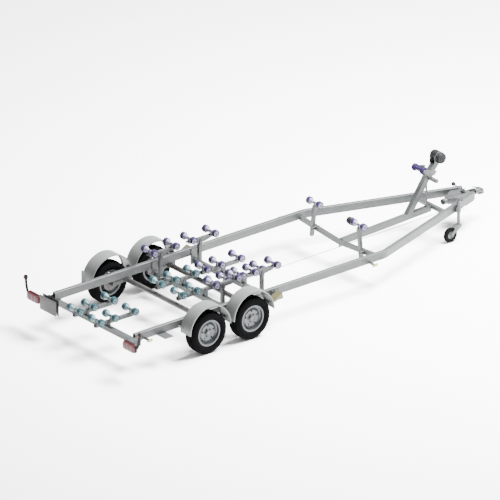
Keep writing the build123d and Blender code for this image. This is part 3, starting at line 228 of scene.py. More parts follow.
def lathe(bm, profile, matrix, steps=24, closed=False):
    """Surface of revolution about local z; the profile is (radius, height)."""
    rings = []
    for radius, height in profile:
        ring = circle(steps, radius, height) if radius > 0 else [Vector((0, 0, height))]
        rings.append([matrix @ point for point in ring])
    skin(bm, rings, closed)


def prism(bm, outline, matrix, depth):
    """Solid with a flat outline in local x and y, from z 0 to the depth."""
    ends = [[matrix @ Vector((x, y, z)) for x, y in outline] for z in (0.0, depth)]
    low, high = skin(bm, ends)
    bm.faces.new(list(reversed(low)))
    bm.faces.new(high)


def slab(bm, low, high, matrix=Matrix.Identity(4)):
    """Box between two corners."""
    (x0, y0, z0), (x1, y1, z1) = low, high
    prism(bm, ((x0, y0), (x1, y0), (x1, y1), (x0, y1)), matrix @ Matrix.Translation((0, 0, z0)), z1 - z0)


def rod(bm, path, radius, sides=12):
    """Round bar with flat ends that follows the points."""
    points = [Vector(point) for point in path]
    rings = []
    for i, point in enumerate(points):
        ahead = points[min(i + 1, len(points) - 1)] - points[max(i - 1, 0)]
        rings.append([along(ahead, point) @ corner for corner in circle(sides, radius)])
    rows = skin(bm, rings)
    bm.faces.new(list(reversed(rows[0])))
    bm.faces.new(rows[-1])


def rounded(points, radius, steps=6):
    """The same route with its inner corners rounded."""
    points = [Vector(point) for point in points]
    route = [points[0]]
    for before, corner, after in zip(points, points[1:], points[2:]):
        first = corner + (before - corner).normalized() * radius
        last = corner + (after - corner).normalized() * radius
        for i in range(steps + 1):
            t = i / steps
            route.append(first * (1 - t) ** 2 + corner * (2 * t * (1 - t)) + last * t ** 2)
    route.append(points[-1])
    return route


# Widths across the flats of common heads
M8, M10, M12 = 0.013, 0.017, 0.019


def bolt(bm, place, direction, size):
    """Hexagon head on a washer, its seat at the place; the size is across the flats."""
    matrix = along(direction, place)
    washer = 0.14 * size
    top = 0.74 * size
    lathe(bm, ((0, 0), (0.66 * size, 0), (0.66 * size, washer * 0.7), (0.62 * size, washer),
               (0, washer)), matrix)
    corner = size / 2 / math.cos(math.pi / 6)
    rings = [[matrix @ point for point in circle(6, radius, height)]
             for radius, height in ((corner, washer), (corner, 0.9 * top), (0.86 * corner, top))]
    rings.append([matrix @ Vector((0, 0, top))])
    skin(bm, rings)
    lathe(bm, ((0, top), (0.30 * size, top), (0.30 * size, 0.92 * size), (0.25 * size, size),
               (0, size)), matrix)


def u_bolt(bm, back, front, spread, axis, size):
    """Round bar bent round a member: its legs are spread along the axis and end in nuts at the front."""
    back, front, axis = Vector(back), Vector(front), Vector(axis)
    inward = (back - front).normalized()
    side = axis * spread / 2
    end = front - inward * 1.4 * size
    route = [end + side, back + side, back - side, end - side]
    rod(bm, rounded(route, 1.2 * size), 0.3 * size)
    for leg in (side, -side):
        bolt(bm, front + leg, -inward, size)


def piece(name, bm, slot_name, body="root", sharp=38.0):
    """A finished mesh piece on its body, in the finish of its slot."""
    bmesh.ops.recalc_face_normals(bm, faces=bm.faces)
    mesh = bpy.data.meshes.new(name)
    bm.to_mesh(mesh)
    bm.free()
    mesh.shade_smooth()
    mesh.set_sharp_from_angle(angle=math.radians(sharp))
    obj = bpy.data.objects.new(name, mesh)
    bpy.context.scene.collection.objects.link(obj)
    mesh.materials.append(MATERIALS[slot_name])
    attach(obj, body)
    return obj


# Tyres: carcass with rubbed rings on the walls, and five rows of tread blocks
TREAD_PITCHES = 66
TREAD_ROWS = (
    # stations across the tread with the depth below the crown's line, skew, shift in pitches
    (((-0.080, 0.0085), (-0.072, 0.0010), (-0.045, 0.0)), 0.25, 0.5),
    (((-0.039, 0.0), (-0.017, 0.0)), 0.30, 0.0),
    (((-0.011, 0.0), (0.011, 0.0)), 0.0, 0.5),
    (((0.017, 0.0), (0.039, 0.0)), -0.30, 0.0),
    (((0.045, 0.0), (0.072, 0.0010), (0.080, 0.0085)), -0.25, 0.5),
)
TREAD_DEPTH = 0.0085
TREAD_FILL = 0.80
CARCASS = (
    # half section in millimetres: radius, distance from the middle
    (178.0, 65.0), (200.4, 73.6), (203.0, 81.0), (209.0, 84.0), (216.0, 88.0), (224.0, 92.0), (226.0, 94.0),
    (229.0, 94.6), (231.0, 94.2), (240.0, 97.2), (250.0, 98.6), (258.0, 98.4), (259.0, 97.6), (268.0, 96.6),
    (276.0, 94.4), (284.0, 91.0), (291.0, 87.0), (298.0, 82.0), (303.0, 77.0), (305.5, 70.0), (306.0, 0.0),
)


def crown(wheel_r, across):
    """Radius of the tread's top at a distance from the middle."""
    return wheel_r - 0.0045 * (across / 0.070) ** 2 - 0.0004


def tyre(name):
    low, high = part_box("tyre_" + name)
    centre = [(a + b) / 2 for a, b in zip(low, high)]
    wheel_r = (high[2] - low[2]) / 2
    matrix = along((0, 1, 0), centre)
    bm = bmesh.new()
    half = [(radius / 1000, across / 1000) for radius, across in CARCASS]
    lathe(bm, half + [(radius, -across) for radius, across in reversed(half[:-1])], matrix, 120, closed=True)
    pitch = 2 * math.pi / TREAD_PITCHES
    for stations, skew, shift in TREAD_ROWS:
        middle = (stations[0][0] + stations[-1][0]) / 2
        for number in range(TREAD_PITCHES):
            rows = []
            for across, drop in stations:
                start = (number + shift) * pitch + skew * pitch * (across - middle) / 0.022
                top = crown(wheel_r, across) - drop
                base = top - TREAD_DEPTH if drop < 0.005 else top - 0.004
                edge = 0.06 * pitch
                block = TREAD_FILL * pitch
                row = []
                for radius, turn in ((base, 0.0), (top, edge), (top, block - edge), (base, block)):
                    angle = start + turn
                    row.append(matrix @ Vector((radius * math.cos(angle), radius * math.sin(angle), across)))
                rows.append(row)
            ends = skin(bm, rows)
            bm.faces.new(list(reversed(ends[0])))
            bm.faces.new(ends[-1])
    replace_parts(piece("tyre_tread_" + name, bm, "tyre", "wheel_" + name), "tyre_" + name)


for wheel_name in WHEEL_NAMES:
    tyre(wheel_name)

# Wheel bolts, hub cap and valve
BOLT_CIRCLE_R = 0.056
BOLT_SEAT = 0.036
WHEEL_BOLTS = 5
HUB_CAP_OUT = 0.0622
VALVE_BACK = 0.146
VALVE_R = 0.0045
VALVE = (
    # further back, distance outward
    (0.0, 0.018), (0.004, 0.046), (0.006, 0.056),
)
for wheel_name in WHEEL_NAMES:
    low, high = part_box("rim_" + wheel_name)
    centre = [(a + b) / 2 for a, b in zip(low, high)]
    sign = 1 if wheel_name.endswith("left") else -1
    outward = (0, sign, 0)
    bm = bmesh.new()
    for number in range(WHEEL_BOLTS):
        angle = 2 * math.pi * (number + 0.5) / WHEEL_BOLTS
        place = (centre[0] + BOLT_CIRCLE_R * math.cos(angle), centre[1] + sign * BOLT_SEAT,
                 centre[2] + BOLT_CIRCLE_R * math.sin(angle))
        bolt(bm, place, outward, M12)
    valve_x = centre[0] - VALVE_BACK
    rod(bm, [(valve_x - behind, centre[1] + sign * out, centre[2]) for behind, out in VALVE], VALVE_R)
    piece("wheel_bolts_" + wheel_name, bm, "axle_steel", "wheel_" + wheel_name)
    bm = bmesh.new()
    lathe(bm, ((0.0345, 0.037), (0.0345, 0.052), (0.030, HUB_CAP_OUT - 0.003), (0.022, HUB_CAP_OUT + 0.001),
               (0.010, HUB_CAP_OUT + 0.0025), (0, HUB_CAP_OUT + 0.003)), along(outward, centre), 40)
    piece("hub_cap_" + wheel_name, bm, "coupling_steel", "wheel_" + wheel_name)


# Views in which sections are drawn: local x and y, and the height along z
ACROSS = Matrix(((0, 0, 1, 0), (1, 0, 0, 0), (0, 1, 0, 0), (0, 0, 0, 1)))
FROM_SIDE = Matrix(((1, 0, 0, 0), (0, 0, 1, 0), (0, 1, 0, 0), (0, 0, 0, 1)))


def rounded_outline(half_w, half_h, corner, steps=6):
    """Rectangle with round corners, as points."""
    points = []
    for quarter, (a, b) in enumerate(((1, 1), (-1, 1), (-1, -1), (1, -1))):
        for i in range(steps + 1):
            angle = (quarter + i / steps) * math.pi / 2
            points.append((a * (half_w - corner) + corner * math.cos(angle),
                           b * (half_h - corner) + corner * math.sin(angle)))
    return points


def loft(bm, stations, matrix, centre=(0.0, 0.0)):
    """Closed body through rounded rectangles: (height, half width, half height, corner, offset up)."""
    rings = []
    for height, half_w, half_h, corner, rise in stations:
        rings.append([matrix @ Vector((centre[0] + x, centre[1] + y + rise, height))
                      for x, y in rounded_outline(half_w, half_h, corner)])
    rows = skin(bm, rings)
    bm.faces.new(list(reversed(rows[0])))
    bm.faces.new(rows[-1])


# Rollers: tread, cone on the inner side, dished outer face with its boss and nut
ROLLER_R = 0.054
HALF_PITCH = 0.110
AXLE_REACH = HALF_PITCH + 0.034
NUT_SEAT = HALF_PITCH + 0.032
AXLE_R = 0.007
CAD_ROLLER_R = 0.045
CAD_HALF_TREAD = 0.037
ROLLER_CORE = (
    # millimetres: radius, distance outward from the middle of the tread
    (0.0, 32.0), (12.5, 32.0), (15.0, 29.5), (15.0, 24.5), (38.0, 24.0), (42.0, 27.5), (42.5, -29.0),
    (46.0, -30.5), (18.0, -95.0), (14.0, -96.0), (0.0, -96.0),
)
ROLLER_TREAD = (
    (41.5, 25.0), (43.5, 29.5), (49.0, 30.2), (52.6, 28.4), (54.0, 24.5), (54.0, -24.5), (52.6, -28.4),
    (49.0, -30.8), (46.5, -31.0), (42.0, -27.0),
)
CRADLE_STEPS = (0.0, 0.255, 0.609)
BOGIE_STEPS = (0.0, 0.396)
ROLLER_NODES = [(node, CRADLE_STEPS) for node in sorted(NODES) if node.startswith("cradle_rollers")]
ROLLER_NODES += [(node, BOGIE_STEPS) for node in sorted(NODES) if node.startswith("bogie_rollers")]


def roller_pair(tread, core, x, y, z):
    for sign in (1, -1):
        matrix = along((0, sign, 0), (x, y + sign * HALF_PITCH, z))
        scale = ROLLER_R / 54.0
        lathe(core, [(radius * scale, out / 1000) for radius, out in ROLLER_CORE], matrix, 40)
        lathe(tread, [(radius * scale, out / 1000) for radius, out in ROLLER_TREAD], matrix, 40, closed=True)


def roller_axle(bm, x, y, z):
    rod(bm, ((x, y - AXLE_REACH, z), (x, y + AXLE_REACH, z)), AXLE_R)
    for sign in (1, -1):
        bolt(bm, (x, y + sign * NUT_SEAT, z), (0, sign, 0), 0.016)


def finish_rollers(node, body, tread, core, steel):
    """Makes the pieces of one roller node and puts them in its place."""
    core_piece = piece(node + "_cores", core, SLOTS[node], body)
    # The cores take the paler copy of the roller colour: painted light
    core_piece.data.materials[0] = PAINTED_LIGHT_CORE_MATERIALS[SLOTS[node]]
    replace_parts(piece(node + "_treads", tread, SLOTS[node], body), node)
    piece(node + "_axles", steel, "coupling_steel", body)


for node, steps in ROLLER_NODES:
    low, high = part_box(node)
    tread, core, steel = bmesh.new(), bmesh.new(), bmesh.new()
    for step in steps:
        place = (low[0] + CAD_ROLLER_R + step, (low[1] + high[1]) / 2, (low[2] + high[2]) / 2)
        roller_pair(tread, core, *place)
        roller_axle(steel, *place)
    finish_rollers(node, node.replace("_rollers", ""), tread, core, steel)

low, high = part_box("front_rollers")
FRONT_ROLLER_X = (low[0] + high[0]) / 2
FRONT_ROLLER_Y = high[1] - HALF_PITCH - CAD_HALF_TREAD
FRONT_ROLLER_Z = (low[2] + high[2]) / 2
tread, core, steel = bmesh.new(), bmesh.new(), bmesh.new()
for sign in (1, -1):
    place = (FRONT_ROLLER_X, sign * FRONT_ROLLER_Y, FRONT_ROLLER_Z)
    roller_pair(tread, core, *place)
    roller_axle(steel, *place)
finish_rollers("front_rollers", "root", tread, core, steel)
STOP_PROFILE = (
    # radius, distance from the axle's inner end
    (0.017, 0.0), (0.048, 0.0), (0.057, 0.008), (0.060, 0.020), (0.057, 0.034), (0.046, 0.042),
    (0.046, 0.048), (0.050, 0.054), (0.052, 0.066), (0.048, 0.080), (0.040, 0.086), (0.017, 0.086),
)
stop_place = (FRONT_ROLLER_X, AXLE_REACH - FRONT_ROLLER_Y, FRONT_ROLLER_Z)
stop = bmesh.new()
lathe(stop, STOP_PROFILE, along((0, 1, 0), stop_place), 32, closed=True)
piece("front_roller_stop", stop, "black_plastic")

# Bow roller: two round ends and a thin waist
low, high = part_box("bow_roller")
BOW_R = (high[2] - low[2]) / 2 + 0.009
BOW_HALF = (high[1] - low[1]) / 2
BOW_BORE_R = 0.0102
BOW_STATIONS = (
    # share of the half length, share of the end radius
    (1.0, 0.60), (0.985, 0.76), (0.94, 0.90), (0.86, 0.98), (0.76, 1.0), (0.66, 0.98), (0.58, 0.90),
    (0.52, 0.72), (0.48, 0.54), (0.42, 0.42), (0.20, 0.38), (0.0, 0.37),
)
bow = bmesh.new()
profile = [(BOW_BORE_R, -BOW_HALF)]
profile += [(share * BOW_R, -out * BOW_HALF) for out, share in BOW_STATIONS]
profile += [(share * BOW_R, out * BOW_HALF) for out, share in reversed(BOW_STATIONS[:-1])]
profile.append((BOW_BORE_R, BOW_HALF))
lathe(bow, profile, along((0, 1, 0), [(a + b) / 2 for a, b in zip(low, high)]), 40, closed=True)
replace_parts(piece("bow_roller_rubber", bow, "bow_roller", "bow_roller"), "bow_roller")

# Rear lamps: rounded housing and lens, with a bent rubber arm that carries a small lamp
lens_low, lens_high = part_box("lamp_lenses")
LAMP_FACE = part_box("lamp_housings")[1][0]
LENS_HALF_H = (lens_high[2] - lens_low[2]) / 2
LENS_HALF_W = 0.134
LAMP_MARGIN = 0.004
LAMP_Y = lens_high[1] - LENS_HALF_W
LAMP_Z = (lens_low[2] + lens_high[2]) / 2
LAMP_BACK = lens_low[0]
LENS_BACK = lens_high[0]
LAMP_CORNER = 0.042
ARM_R = 0.019
ARM_ROUTE = (
    # distance from the middle plane, height
    (LAMP_Y + 0.100, LAMP_Z - 0.004), (LAMP_Y + 0.158, LAMP_Z + 0.020), (1.264, 0.588), (1.280, 0.722),
)
housing = bmesh.new()
lens = bmesh.new()
rims = bmesh.new()
arms = bmesh.new()
tips = bmesh.new()
for sign in (1, -1):
    centre = (sign * LAMP_Y, LAMP_Z)
    loft(housing, (
        (LAMP_FACE, LENS_HALF_W - 0.008, LENS_HALF_H - 0.008, LAMP_CORNER - 0.006, 0),
        (LAMP_FACE - 0.006, LENS_HALF_W + LAMP_MARGIN, LENS_HALF_H + LAMP_MARGIN, LAMP_CORNER, 0),
        (LENS_BACK - 0.004, LENS_HALF_W + LAMP_MARGIN, LENS_HALF_H + LAMP_MARGIN, LAMP_CORNER, 0),
        (LENS_BACK - 0.006, LENS_HALF_W, LENS_HALF_H, LAMP_CORNER - 0.003, 0),
    ), ACROSS, centre)
    loft(lens, (
        (LENS_BACK, LENS_HALF_W - 0.002, LENS_HALF_H - 0.002, LAMP_CORNER - 0.004, 0),
        (LAMP_BACK + 0.010, LENS_HALF_W - 0.003, LENS_HALF_H - 0.003, LAMP_CORNER - 0.004, 0),
        (LAMP_BACK + 0.004, LENS_HALF_W - 0.006, LENS_HALF_H - 0.006, LAMP_CORNER - 0.006, 0),
        (LAMP_BACK + 0.001, LENS_HALF_W - 0.013, LENS_HALF_H - 0.013, LAMP_CORNER - 0.012, 0),
    ), ACROSS, centre)
    for low_part, high_part in ((-1.0, -0.36), (-0.32, 0.28), (0.32, 1.0)):
        middle = (low_part + high_part) / 2 * (LENS_HALF_W - 0.018)
        half = (high_part - low_part) / 2 * (LENS_HALF_W - 0.018)
        loft(rims, (
            (LAMP_BACK + 0.002, half, LENS_HALF_H - 0.020, min(half, 0.016) - 0.001, 0),
            (LAMP_BACK + 0.0003, half - 0.004, LENS_HALF_H - 0.024, min(half, 0.016) - 0.004, 0),
        ), ACROSS, (sign * (LAMP_Y + middle), LAMP_Z))
    arm_x = (LAMP_FACE + LENS_BACK) / 2
    rod(arms, rounded([(arm_x, sign * y, z) for y, z in ARM_ROUTE], 0.045), ARM_R, 20)
    tip = ARM_ROUTE[-1]
    before = ARM_ROUTE[-2]
    lean = Vector((0, sign * (tip[0] - before[0]), tip[1] - before[1]))
    lathe(arms, ((0, -0.060), (0.024, -0.060), (0.026, -0.056), (0.026, -0.006), (0.022, 0.002), (0, 0.004)),
          along(lean, (arm_x, sign * tip[0], tip[1])), 24)
    for face in (1, -1):
        lathe(tips, ((0.020, 0.0), (0.020, 0.007), (0.017, 0.011), (0.010, 0.013), (0, 0.0135)),
              along((face, 0, 0), (arm_x + face * 0.021, sign * (tip[0] - 0.003), tip[1] - 0.030)), 24)
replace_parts(piece("lamp_housing_shells", housing, "black_plastic"), "lamp_housings")
piece("lamp_arms", arms, "black_plastic")
piece("arm_lamps", tips, "red_lens")
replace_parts(piece("lamp_lens_shells", lens, "red_lens"), "lamp_lenses")
piece("lamp_lens_panes", rims, "red_lens")

# Blank number plate on spacers, with the small lamp over it
PLATE_Y = 0.730
PLATE_Z = 0.455
PLATE_BACK = -3.6545
PLATE_HALF_W = 0.184
PLATE_HALF_H = 0.112
PLATE_T = 0.004
PLATE_BEVEL = 0.003
SPACER_OFF = (0.130, 0.070)
SPACER_R = 0.009
PLATE_LAMP_UP = 0.126
plate = bmesh.new()
loft(plate, (
    (PLATE_BACK, PLATE_HALF_W, PLATE_HALF_H, 0.010, 0),
    (PLATE_BACK - 0.0025, PLATE_HALF_W, PLATE_HALF_H, 0.010, 0),
    (PLATE_BACK - PLATE_T, PLATE_HALF_W - PLATE_BEVEL, PLATE_HALF_H - PLATE_BEVEL, 0.008, 0),
), ACROSS, (PLATE_Y, PLATE_Z))
piece("number_plate", plate, "axle_steel")
fixings = bmesh.new()
for y in (PLATE_Y - SPACER_OFF[0], PLATE_Y + SPACER_OFF[0]):
    for z in (PLATE_Z - SPACER_OFF[1], PLATE_Z + SPACER_OFF[1]):
        rod(fixings, ((LAMP_FACE - 0.003, y, z), (PLATE_BACK, y, z)), SPACER_R)
        bolt(fixings, (PLATE_BACK - PLATE_T, y, z), (-1, 0, 0), 0.005)
piece("plate_spacers", fixings, "coupling_steel")
PLATE_LAMP = (
    # place along the trailer, half width, half height, corner, offset up
    (-3.612, 0.030, 0.024, 0.008, 0), (-3.640, 0.030, 0.024, 0.008, 0), (-3.648, 0.026, 0.018, 0.008, -0.004),
)
plate_lamp = bmesh.new()
loft(plate_lamp, PLATE_LAMP, ACROSS, (PLATE_Y, PLATE_Z + PLATE_LAMP_UP))
piece("plate_lamp", plate_lamp, "black_plastic")

# Side markers: black base and rounded lens
low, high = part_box("side_markers")
MARKER_OUT = high[1]
MARKER_IN = MARKER_OUT - 0.024
MARKER_LENS = MARKER_IN + 0.009
MARKER_HALF = 0.045
MARKER_Z = (low[2] + high[2]) / 2
lens = bmesh.new()
base = bmesh.new()
for sign in (1, -1):
    for x in (low[0] + MARKER_HALF, high[0] - MARKER_HALF):
        loft(base, (
            (sign * MARKER_IN, MARKER_HALF, 0.020, 0.006, 0),
            (sign * MARKER_LENS, MARKER_HALF, 0.020, 0.006, 0),
        ), FROM_SIDE, (x, MARKER_Z))
        loft(lens, (
            (sign * MARKER_LENS, 0.042, 0.0175, 0.006, 0),
            (sign * (MARKER_OUT - 0.004), 0.040, 0.0160, 0.006, 0),
            (sign * MARKER_OUT, 0.034, 0.0110, 0.005, 0),
        ), FROM_SIDE, (x, MARKER_Z))
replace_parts(piece("side_marker_lenses", lens, "amber_lens"), "side_markers")
piece("side_marker_bases", base, "black_plastic")

# Flag plate on the left beam: foot, and the plate that stands on it
FLAG_FACES = (-2.808, -2.804, -2.801)
FLAG_OUT = 1.050
FLAG_TOP = 0.650
flag = bmesh.new()
slab(flag, (FLAG_FACES[0], 0.931, 0.430), (FLAG_FACES[1], FLAG_OUT, 0.472))
slab(flag, (FLAG_FACES[1], 0.950, 0.436), (FLAG_FACES[2], FLAG_OUT, FLAG_TOP))
piece("left_flag_plate", flag, "galvanised_steel")

# Winch: gear housing on the right side, ribbed, with its cap
low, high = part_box("winch_cover")
WINCH_X = (low[0] + high[0]) / 2
CASE_R = 0.085
CASE_SEAT_Y = -0.0585
CASE_RIBS = 12
RIB = (0.036, 0.0740, 0.0016)
CASE_PROFILE = (
    # radius, distance from the seat
    (0, 0.010), (0.070, 0.010), (0.079, 0.0125), (0.0825, 0.016), (0.0825, 0.036), (0.080, 0.039),
    (0.077, 0.039), (0.075, 0.064), (0.070, 0.071), (0.044, 0.075), (0.040, 0.073), (0.032, 0.073),
    (0.030, 0.079), (0.015, 0.080), (0.013, 0.076), (0, 0.076),
)
STUDS = 4
STUD_CIRCLE_R = 0.0800
STUD_OUT = 0.0325
WINCH_Z = high[2] - CASE_R - 0.0005
matrix = along((0, -1, 0), (WINCH_X, CASE_SEAT_Y, WINCH_Z))
disc = bmesh.new()
lathe(disc, ((0, 0), (CASE_R - 0.001, 0), (CASE_R, 0.001), (CASE_R, 0.011), (CASE_R - 0.001, 0.012),
             (0, 0.012)), matrix, 64)
piece("winch_brake_disc", disc, "coupling_steel")
case = bmesh.new()
lathe(case, CASE_PROFILE, matrix, 64)
rib_in, rib_out, rib_half = RIB
for number in range(CASE_RIBS):
    turn = matrix @ Matrix.Rotation(2 * math.pi * number / CASE_RIBS, 4, "Z")
    prism(case, ((rib_in, -rib_half), (rib_out, -rib_half), (rib_out, rib_half), (rib_in, rib_half)),
          turn @ Matrix.Translation((0, 0, 0.062)), 0.0125)
piece("winch_gear_case", case, "black_plastic")
studs = bmesh.new()
for number in range(STUDS):
    angle = math.pi / 4 + number * math.pi / 2
    place = (WINCH_X + STUD_CIRCLE_R * math.cos(angle), CASE_SEAT_Y - STUD_OUT,
             WINCH_Z + STUD_CIRCLE_R * math.sin(angle))
    bolt(studs, place, (0, -1, 0), 0.008)
frame_low, frame_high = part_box("winch_frame")
for x in (WINCH_X - 0.060, WINCH_X + 0.060):
    bolt(studs, (x, frame_high[1], frame_low[2] + 0.024), (0, 1, 0), M8)
piece("winch_bolts", studs, "coupling_steel")

# Nose: front cross tube, plate under the beams, and the overrun housing sunk between them
BEND_X = 1.105
NOSE_X = 3.372
NOSE_Y = 0.126
BEAM_Y = 0.900
CONVERGE = (BEAM_Y - NOSE_Y) / (NOSE_X - BEND_X)
FACE_IN = 0.0322
NOSE_REAR = 3.145
NOSE_EDGE = 0.030
NOSE_PLATE_T = 0.0075
CROSS_HALF = 0.030
CROSS_Z = 0.453
low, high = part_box("nose_frame")


def beam_y(x):
    """Middle of the left beam in front of the bend."""
    return BEAM_Y - (x - BEND_X) * CONVERGE


nose = bmesh.new()
cross_x = low[0] + CROSS_HALF
cross_half = beam_y(cross_x) - FACE_IN - 0.010
loft(nose, [(end, CROSS_HALF, CROSS_HALF, 0.006, 0) for end in (-cross_half, cross_half)],
     FROM_SIDE, (cross_x, CROSS_Z))
rear_y = beam_y(NOSE_REAR) + NOSE_EDGE
front_y = beam_y(high[0]) + NOSE_EDGE
prism(nose, [(NOSE_REAR, -rear_y), (high[0], -front_y), (high[0], front_y), (NOSE_REAR, rear_y)],
      Matrix.Translation((0, 0, low[2])), NOSE_PLATE_T)
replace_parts(piece("nose_plates", nose, "galvanised_steel"), "nose_frame")

HOUSING_TOP = 0.500
HOUSING_REAR = (2.985, 0.045)
HOUSING_SHOULDER = 3.185
HOUSING_FLARE = 0.565
HOUSING_LEVELS = (
    # height, how far the outline draws in
    (0.4085, 0.0), (HOUSING_TOP - 0.008, 0.0), (HOUSING_TOP - 0.002, 0.003), (HOUSING_TOP, 0.008),
)
HOUSING_BOLTS = (3.06, 3.17, 3.32)
DRAWBAR_Z = 0.450
DRAWBAR_R = 0.030
DRAWBAR_LONG = 0.625


def on_drawbar(x):
    """Matrix that stands local z forward on the drawbar's axis."""
    return along((1, 0, 0), (x, 0, DRAWBAR_Z))


housing = bmesh.new()
half_plan = (HOUSING_REAR, (HOUSING_SHOULDER, beam_y(HOUSING_SHOULDER) - FACE_IN),
             (NOSE_X, beam_y(NOSE_X) - FACE_IN))
plan = [(x, -y) for x, y in half_plan] + list(reversed(half_plan))
middle = Vector((3.20, 0, 0))
rings = []
for height, inset in HOUSING_LEVELS:
    ring = []
    for x, y in plan:
        corner = Vector((x, y, 0))
        ring.append(corner + (middle - corner).normalized() * inset + Vector((0, 0, height)))
    rings.append(ring)
rows = skin(housing, rings)
housing.faces.new(rows[0])
housing.faces.new(rows[-1])
# sleeve at the rear, collar at the front, and the drawbar through both
lathe(housing, ((0.0305, 0.0), (0.042, 0.0), (0.042, 0.120), (0.0305, 0.120)), on_drawbar(2.912), 40,
      closed=True)
lathe(housing, ((0.030, 0.0), (0.052, 0.0), (0.054, 0.002), (0.054, 0.012), (0.052, 0.014), (0.030, 0.014)),
      on_drawbar(3.373), 40, closed=True)
lathe(housing, ((0, 0), (DRAWBAR_R, 0), (DRAWBAR_R, DRAWBAR_LONG), (0, DRAWBAR_LONG)), on_drawbar(2.930), 32)
for x in HOUSING_BOLTS:
    edge_y = HOUSING_REAR[1] + (x - HOUSING_REAR[0]) * HOUSING_FLARE
    reach_y = min(edge_y, beam_y(x) - FACE_IN) - 0.020
    for sign in (1, -1):
        bolt(housing, (x, sign * reach_y, HOUSING_TOP - 0.0005), (0, 0, 1), M8)
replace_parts(piece("overrun_housing_shell", housing, "galvanised_steel"), "overrun_housing")
cap = bmesh.new()
lathe(cap, ((0, 0), (0.022, 0.001), (0.034, 0.006), (0.040, 0.014), (0.0425, 0.022), (0.0425, 0.034),
            (0, 0.034)), on_drawbar(2.894), 40)
piece("drawbar_end_cap", cap, "black_plastic")

# Handbrake lever, raised, with its knob and the ratchet quadrant at its pivot
PIVOT = Vector((3.285, -0.040, 0.520))
TIP = Vector((3.078, -0.040, 0.700))
LEVER_HALF_T = 0.004
reach = TIP - PIVOT
up = Vector((0, 1, 0)).cross(reach).normalized()
lever = bmesh.new()
half_outline = ((-0.012, 0.016), (0.030, 0.018), (0.120, 0.012), (reach.length - 0.020, 0.009))
outline = [(x, -z) for x, z in half_outline] + list(reversed(half_outline))
lever_view = Matrix.Translation(PIVOT - Vector((0, LEVER_HALF_T, 0))) @ Matrix((
    (reach.normalized().x, up.x, 0, 0), (0, 0, 1, 0), (reach.normalized().z, up.z, 0, 0), (0, 0, 0, 1)))
prism(lever, outline, lever_view, 2 * LEVER_HALF_T)
bolt(lever, PIVOT - Vector((0, LEVER_HALF_T, 0)), (0, -1, 0), M10)
QUADRANT = ((0.005, -0.044), (0.050, -0.036), (0.072, -0.010), (0.060, 0.020), (0.020, 0.030), (-0.024, 0.024))
quadrant_place = (PIVOT.x - 0.010, PIVOT.y + LEVER_HALF_T + 0.0005, PIVOT.z + 0.022)
prism(lever, [(-x * 0.9, z) for x, z in QUADRANT], Matrix.Translation(quadrant_place) @ FROM_SIDE, 0.004)
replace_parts(piece("raised_handbrake_lever", lever, "coupling_steel"), "handbrake_lever")
knob = bmesh.new()
lathe(knob, ((0, -0.036), (0.011, -0.036), (0.018, -0.028), (0.027, -0.014), (0.030, 0.000), (0.027, 0.014),
             (0.017, 0.026), (0, 0.030)), along(reach, TIP), 28)
piece("handbrake_knob", knob, "black_plastic")

# Bellows over the collar in front of the overrun housing
BELLOWS = (3.3935, 3.4985)
BELLOWS_R = 0.0315
FOLDS = 7
FOLD = (BELLOWS[1] - BELLOWS[0]) / FOLDS
FOLD_TAPER = 0.0012
profile = [(BELLOWS_R, 0.0), (0.0472, 0.0)]
for number in range(FOLDS):
    start = number * FOLD
    taper = FOLD_TAPER * number
    for radius, share in ((0.0500, 0.08), (0.0562 - taper, 0.36), (0.0566 - taper, 0.50),
                          (0.0562 - taper, 0.64), (0.0500 - taper, 0.92), (0.0476, 1.0)):
        profile.append((radius, start + share * FOLD))
profile.append((BELLOWS_R, BELLOWS[1] - BELLOWS[0]))
bellows = bmesh.new()
lathe(bellows, profile, on_drawbar(BELLOWS[0]), 48, closed=True)
piece("drawbar_bellows", bellows, "black_plastic")

# Coupling head: clamp round the drawbar, body, and the dome over the ball
HEAD = (
    # forward place, half width, half height, corner, middle height
    (3.502, 0.036, 0.036, 0.0355, 0.450), (3.503, 0.039, 0.039, 0.0385, 0.450),
    (3.524, 0.039, 0.039, 0.0385, 0.450), (3.560, 0.039, 0.038, 0.034, 0.450),
    (3.578, 0.036, 0.036, 0.024, 0.449), (3.590, 0.038, 0.035, 0.022, 0.445),
    (3.606, 0.042, 0.036, 0.024, 0.436), (3.622, 0.043, 0.035, 0.026, 0.434),
    (3.640, 0.039, 0.033, 0.026, 0.432), (3.652, 0.031, 0.029, 0.024, 0.430),
    (3.660, 0.019, 0.024, 0.018, 0.428), (3.664, 0.008, 0.018, 0.0078, 0.427),
)
HANDLE = (
    # as above
    (3.640, 0.010, 0.004, 0.003, 0.458), (3.622, 0.017, 0.006, 0.004, 0.474),
    (3.596, 0.019, 0.007, 0.004, 0.4870), (3.540, 0.017, 0.006, 0.004, 0.5030),
    (3.492, 0.017, 0.006, 0.005, 0.5180), (3.466, 0.018, 0.007, 0.006, 0.5290),
    (3.463, 0.014, 0.004, 0.003, 0.5300),
)
HEAD_BOLTS = (
    # forward place, distance out, height, size
    (3.606, 0.0425, 0.452, 0.015), (3.522, 0.0388, DRAWBAR_Z, 0.014), (3.552, 0.0388, DRAWBAR_Z, 0.014),
)
SKIRT_PLACE = (3.6065, 0, 0.3985)
head = bmesh.new()
loft(head, HEAD, ACROSS)
prism(head, rounded_outline(0.058, 0.0445, 0.0440), Matrix.Translation(SKIRT_PLACE), 0.007)
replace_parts(piece("coupling_head_shell", head, "coupling_steel"), "coupling_head")
handle = bmesh.new()
loft(handle, HANDLE, ACROSS)
for x, out, z, size in HEAD_BOLTS:
    for sign in (1, -1):
        bolt(handle, (x, sign * out, z), (0, sign, 0), size)
piece("coupling_handle", handle, "coupling_steel")

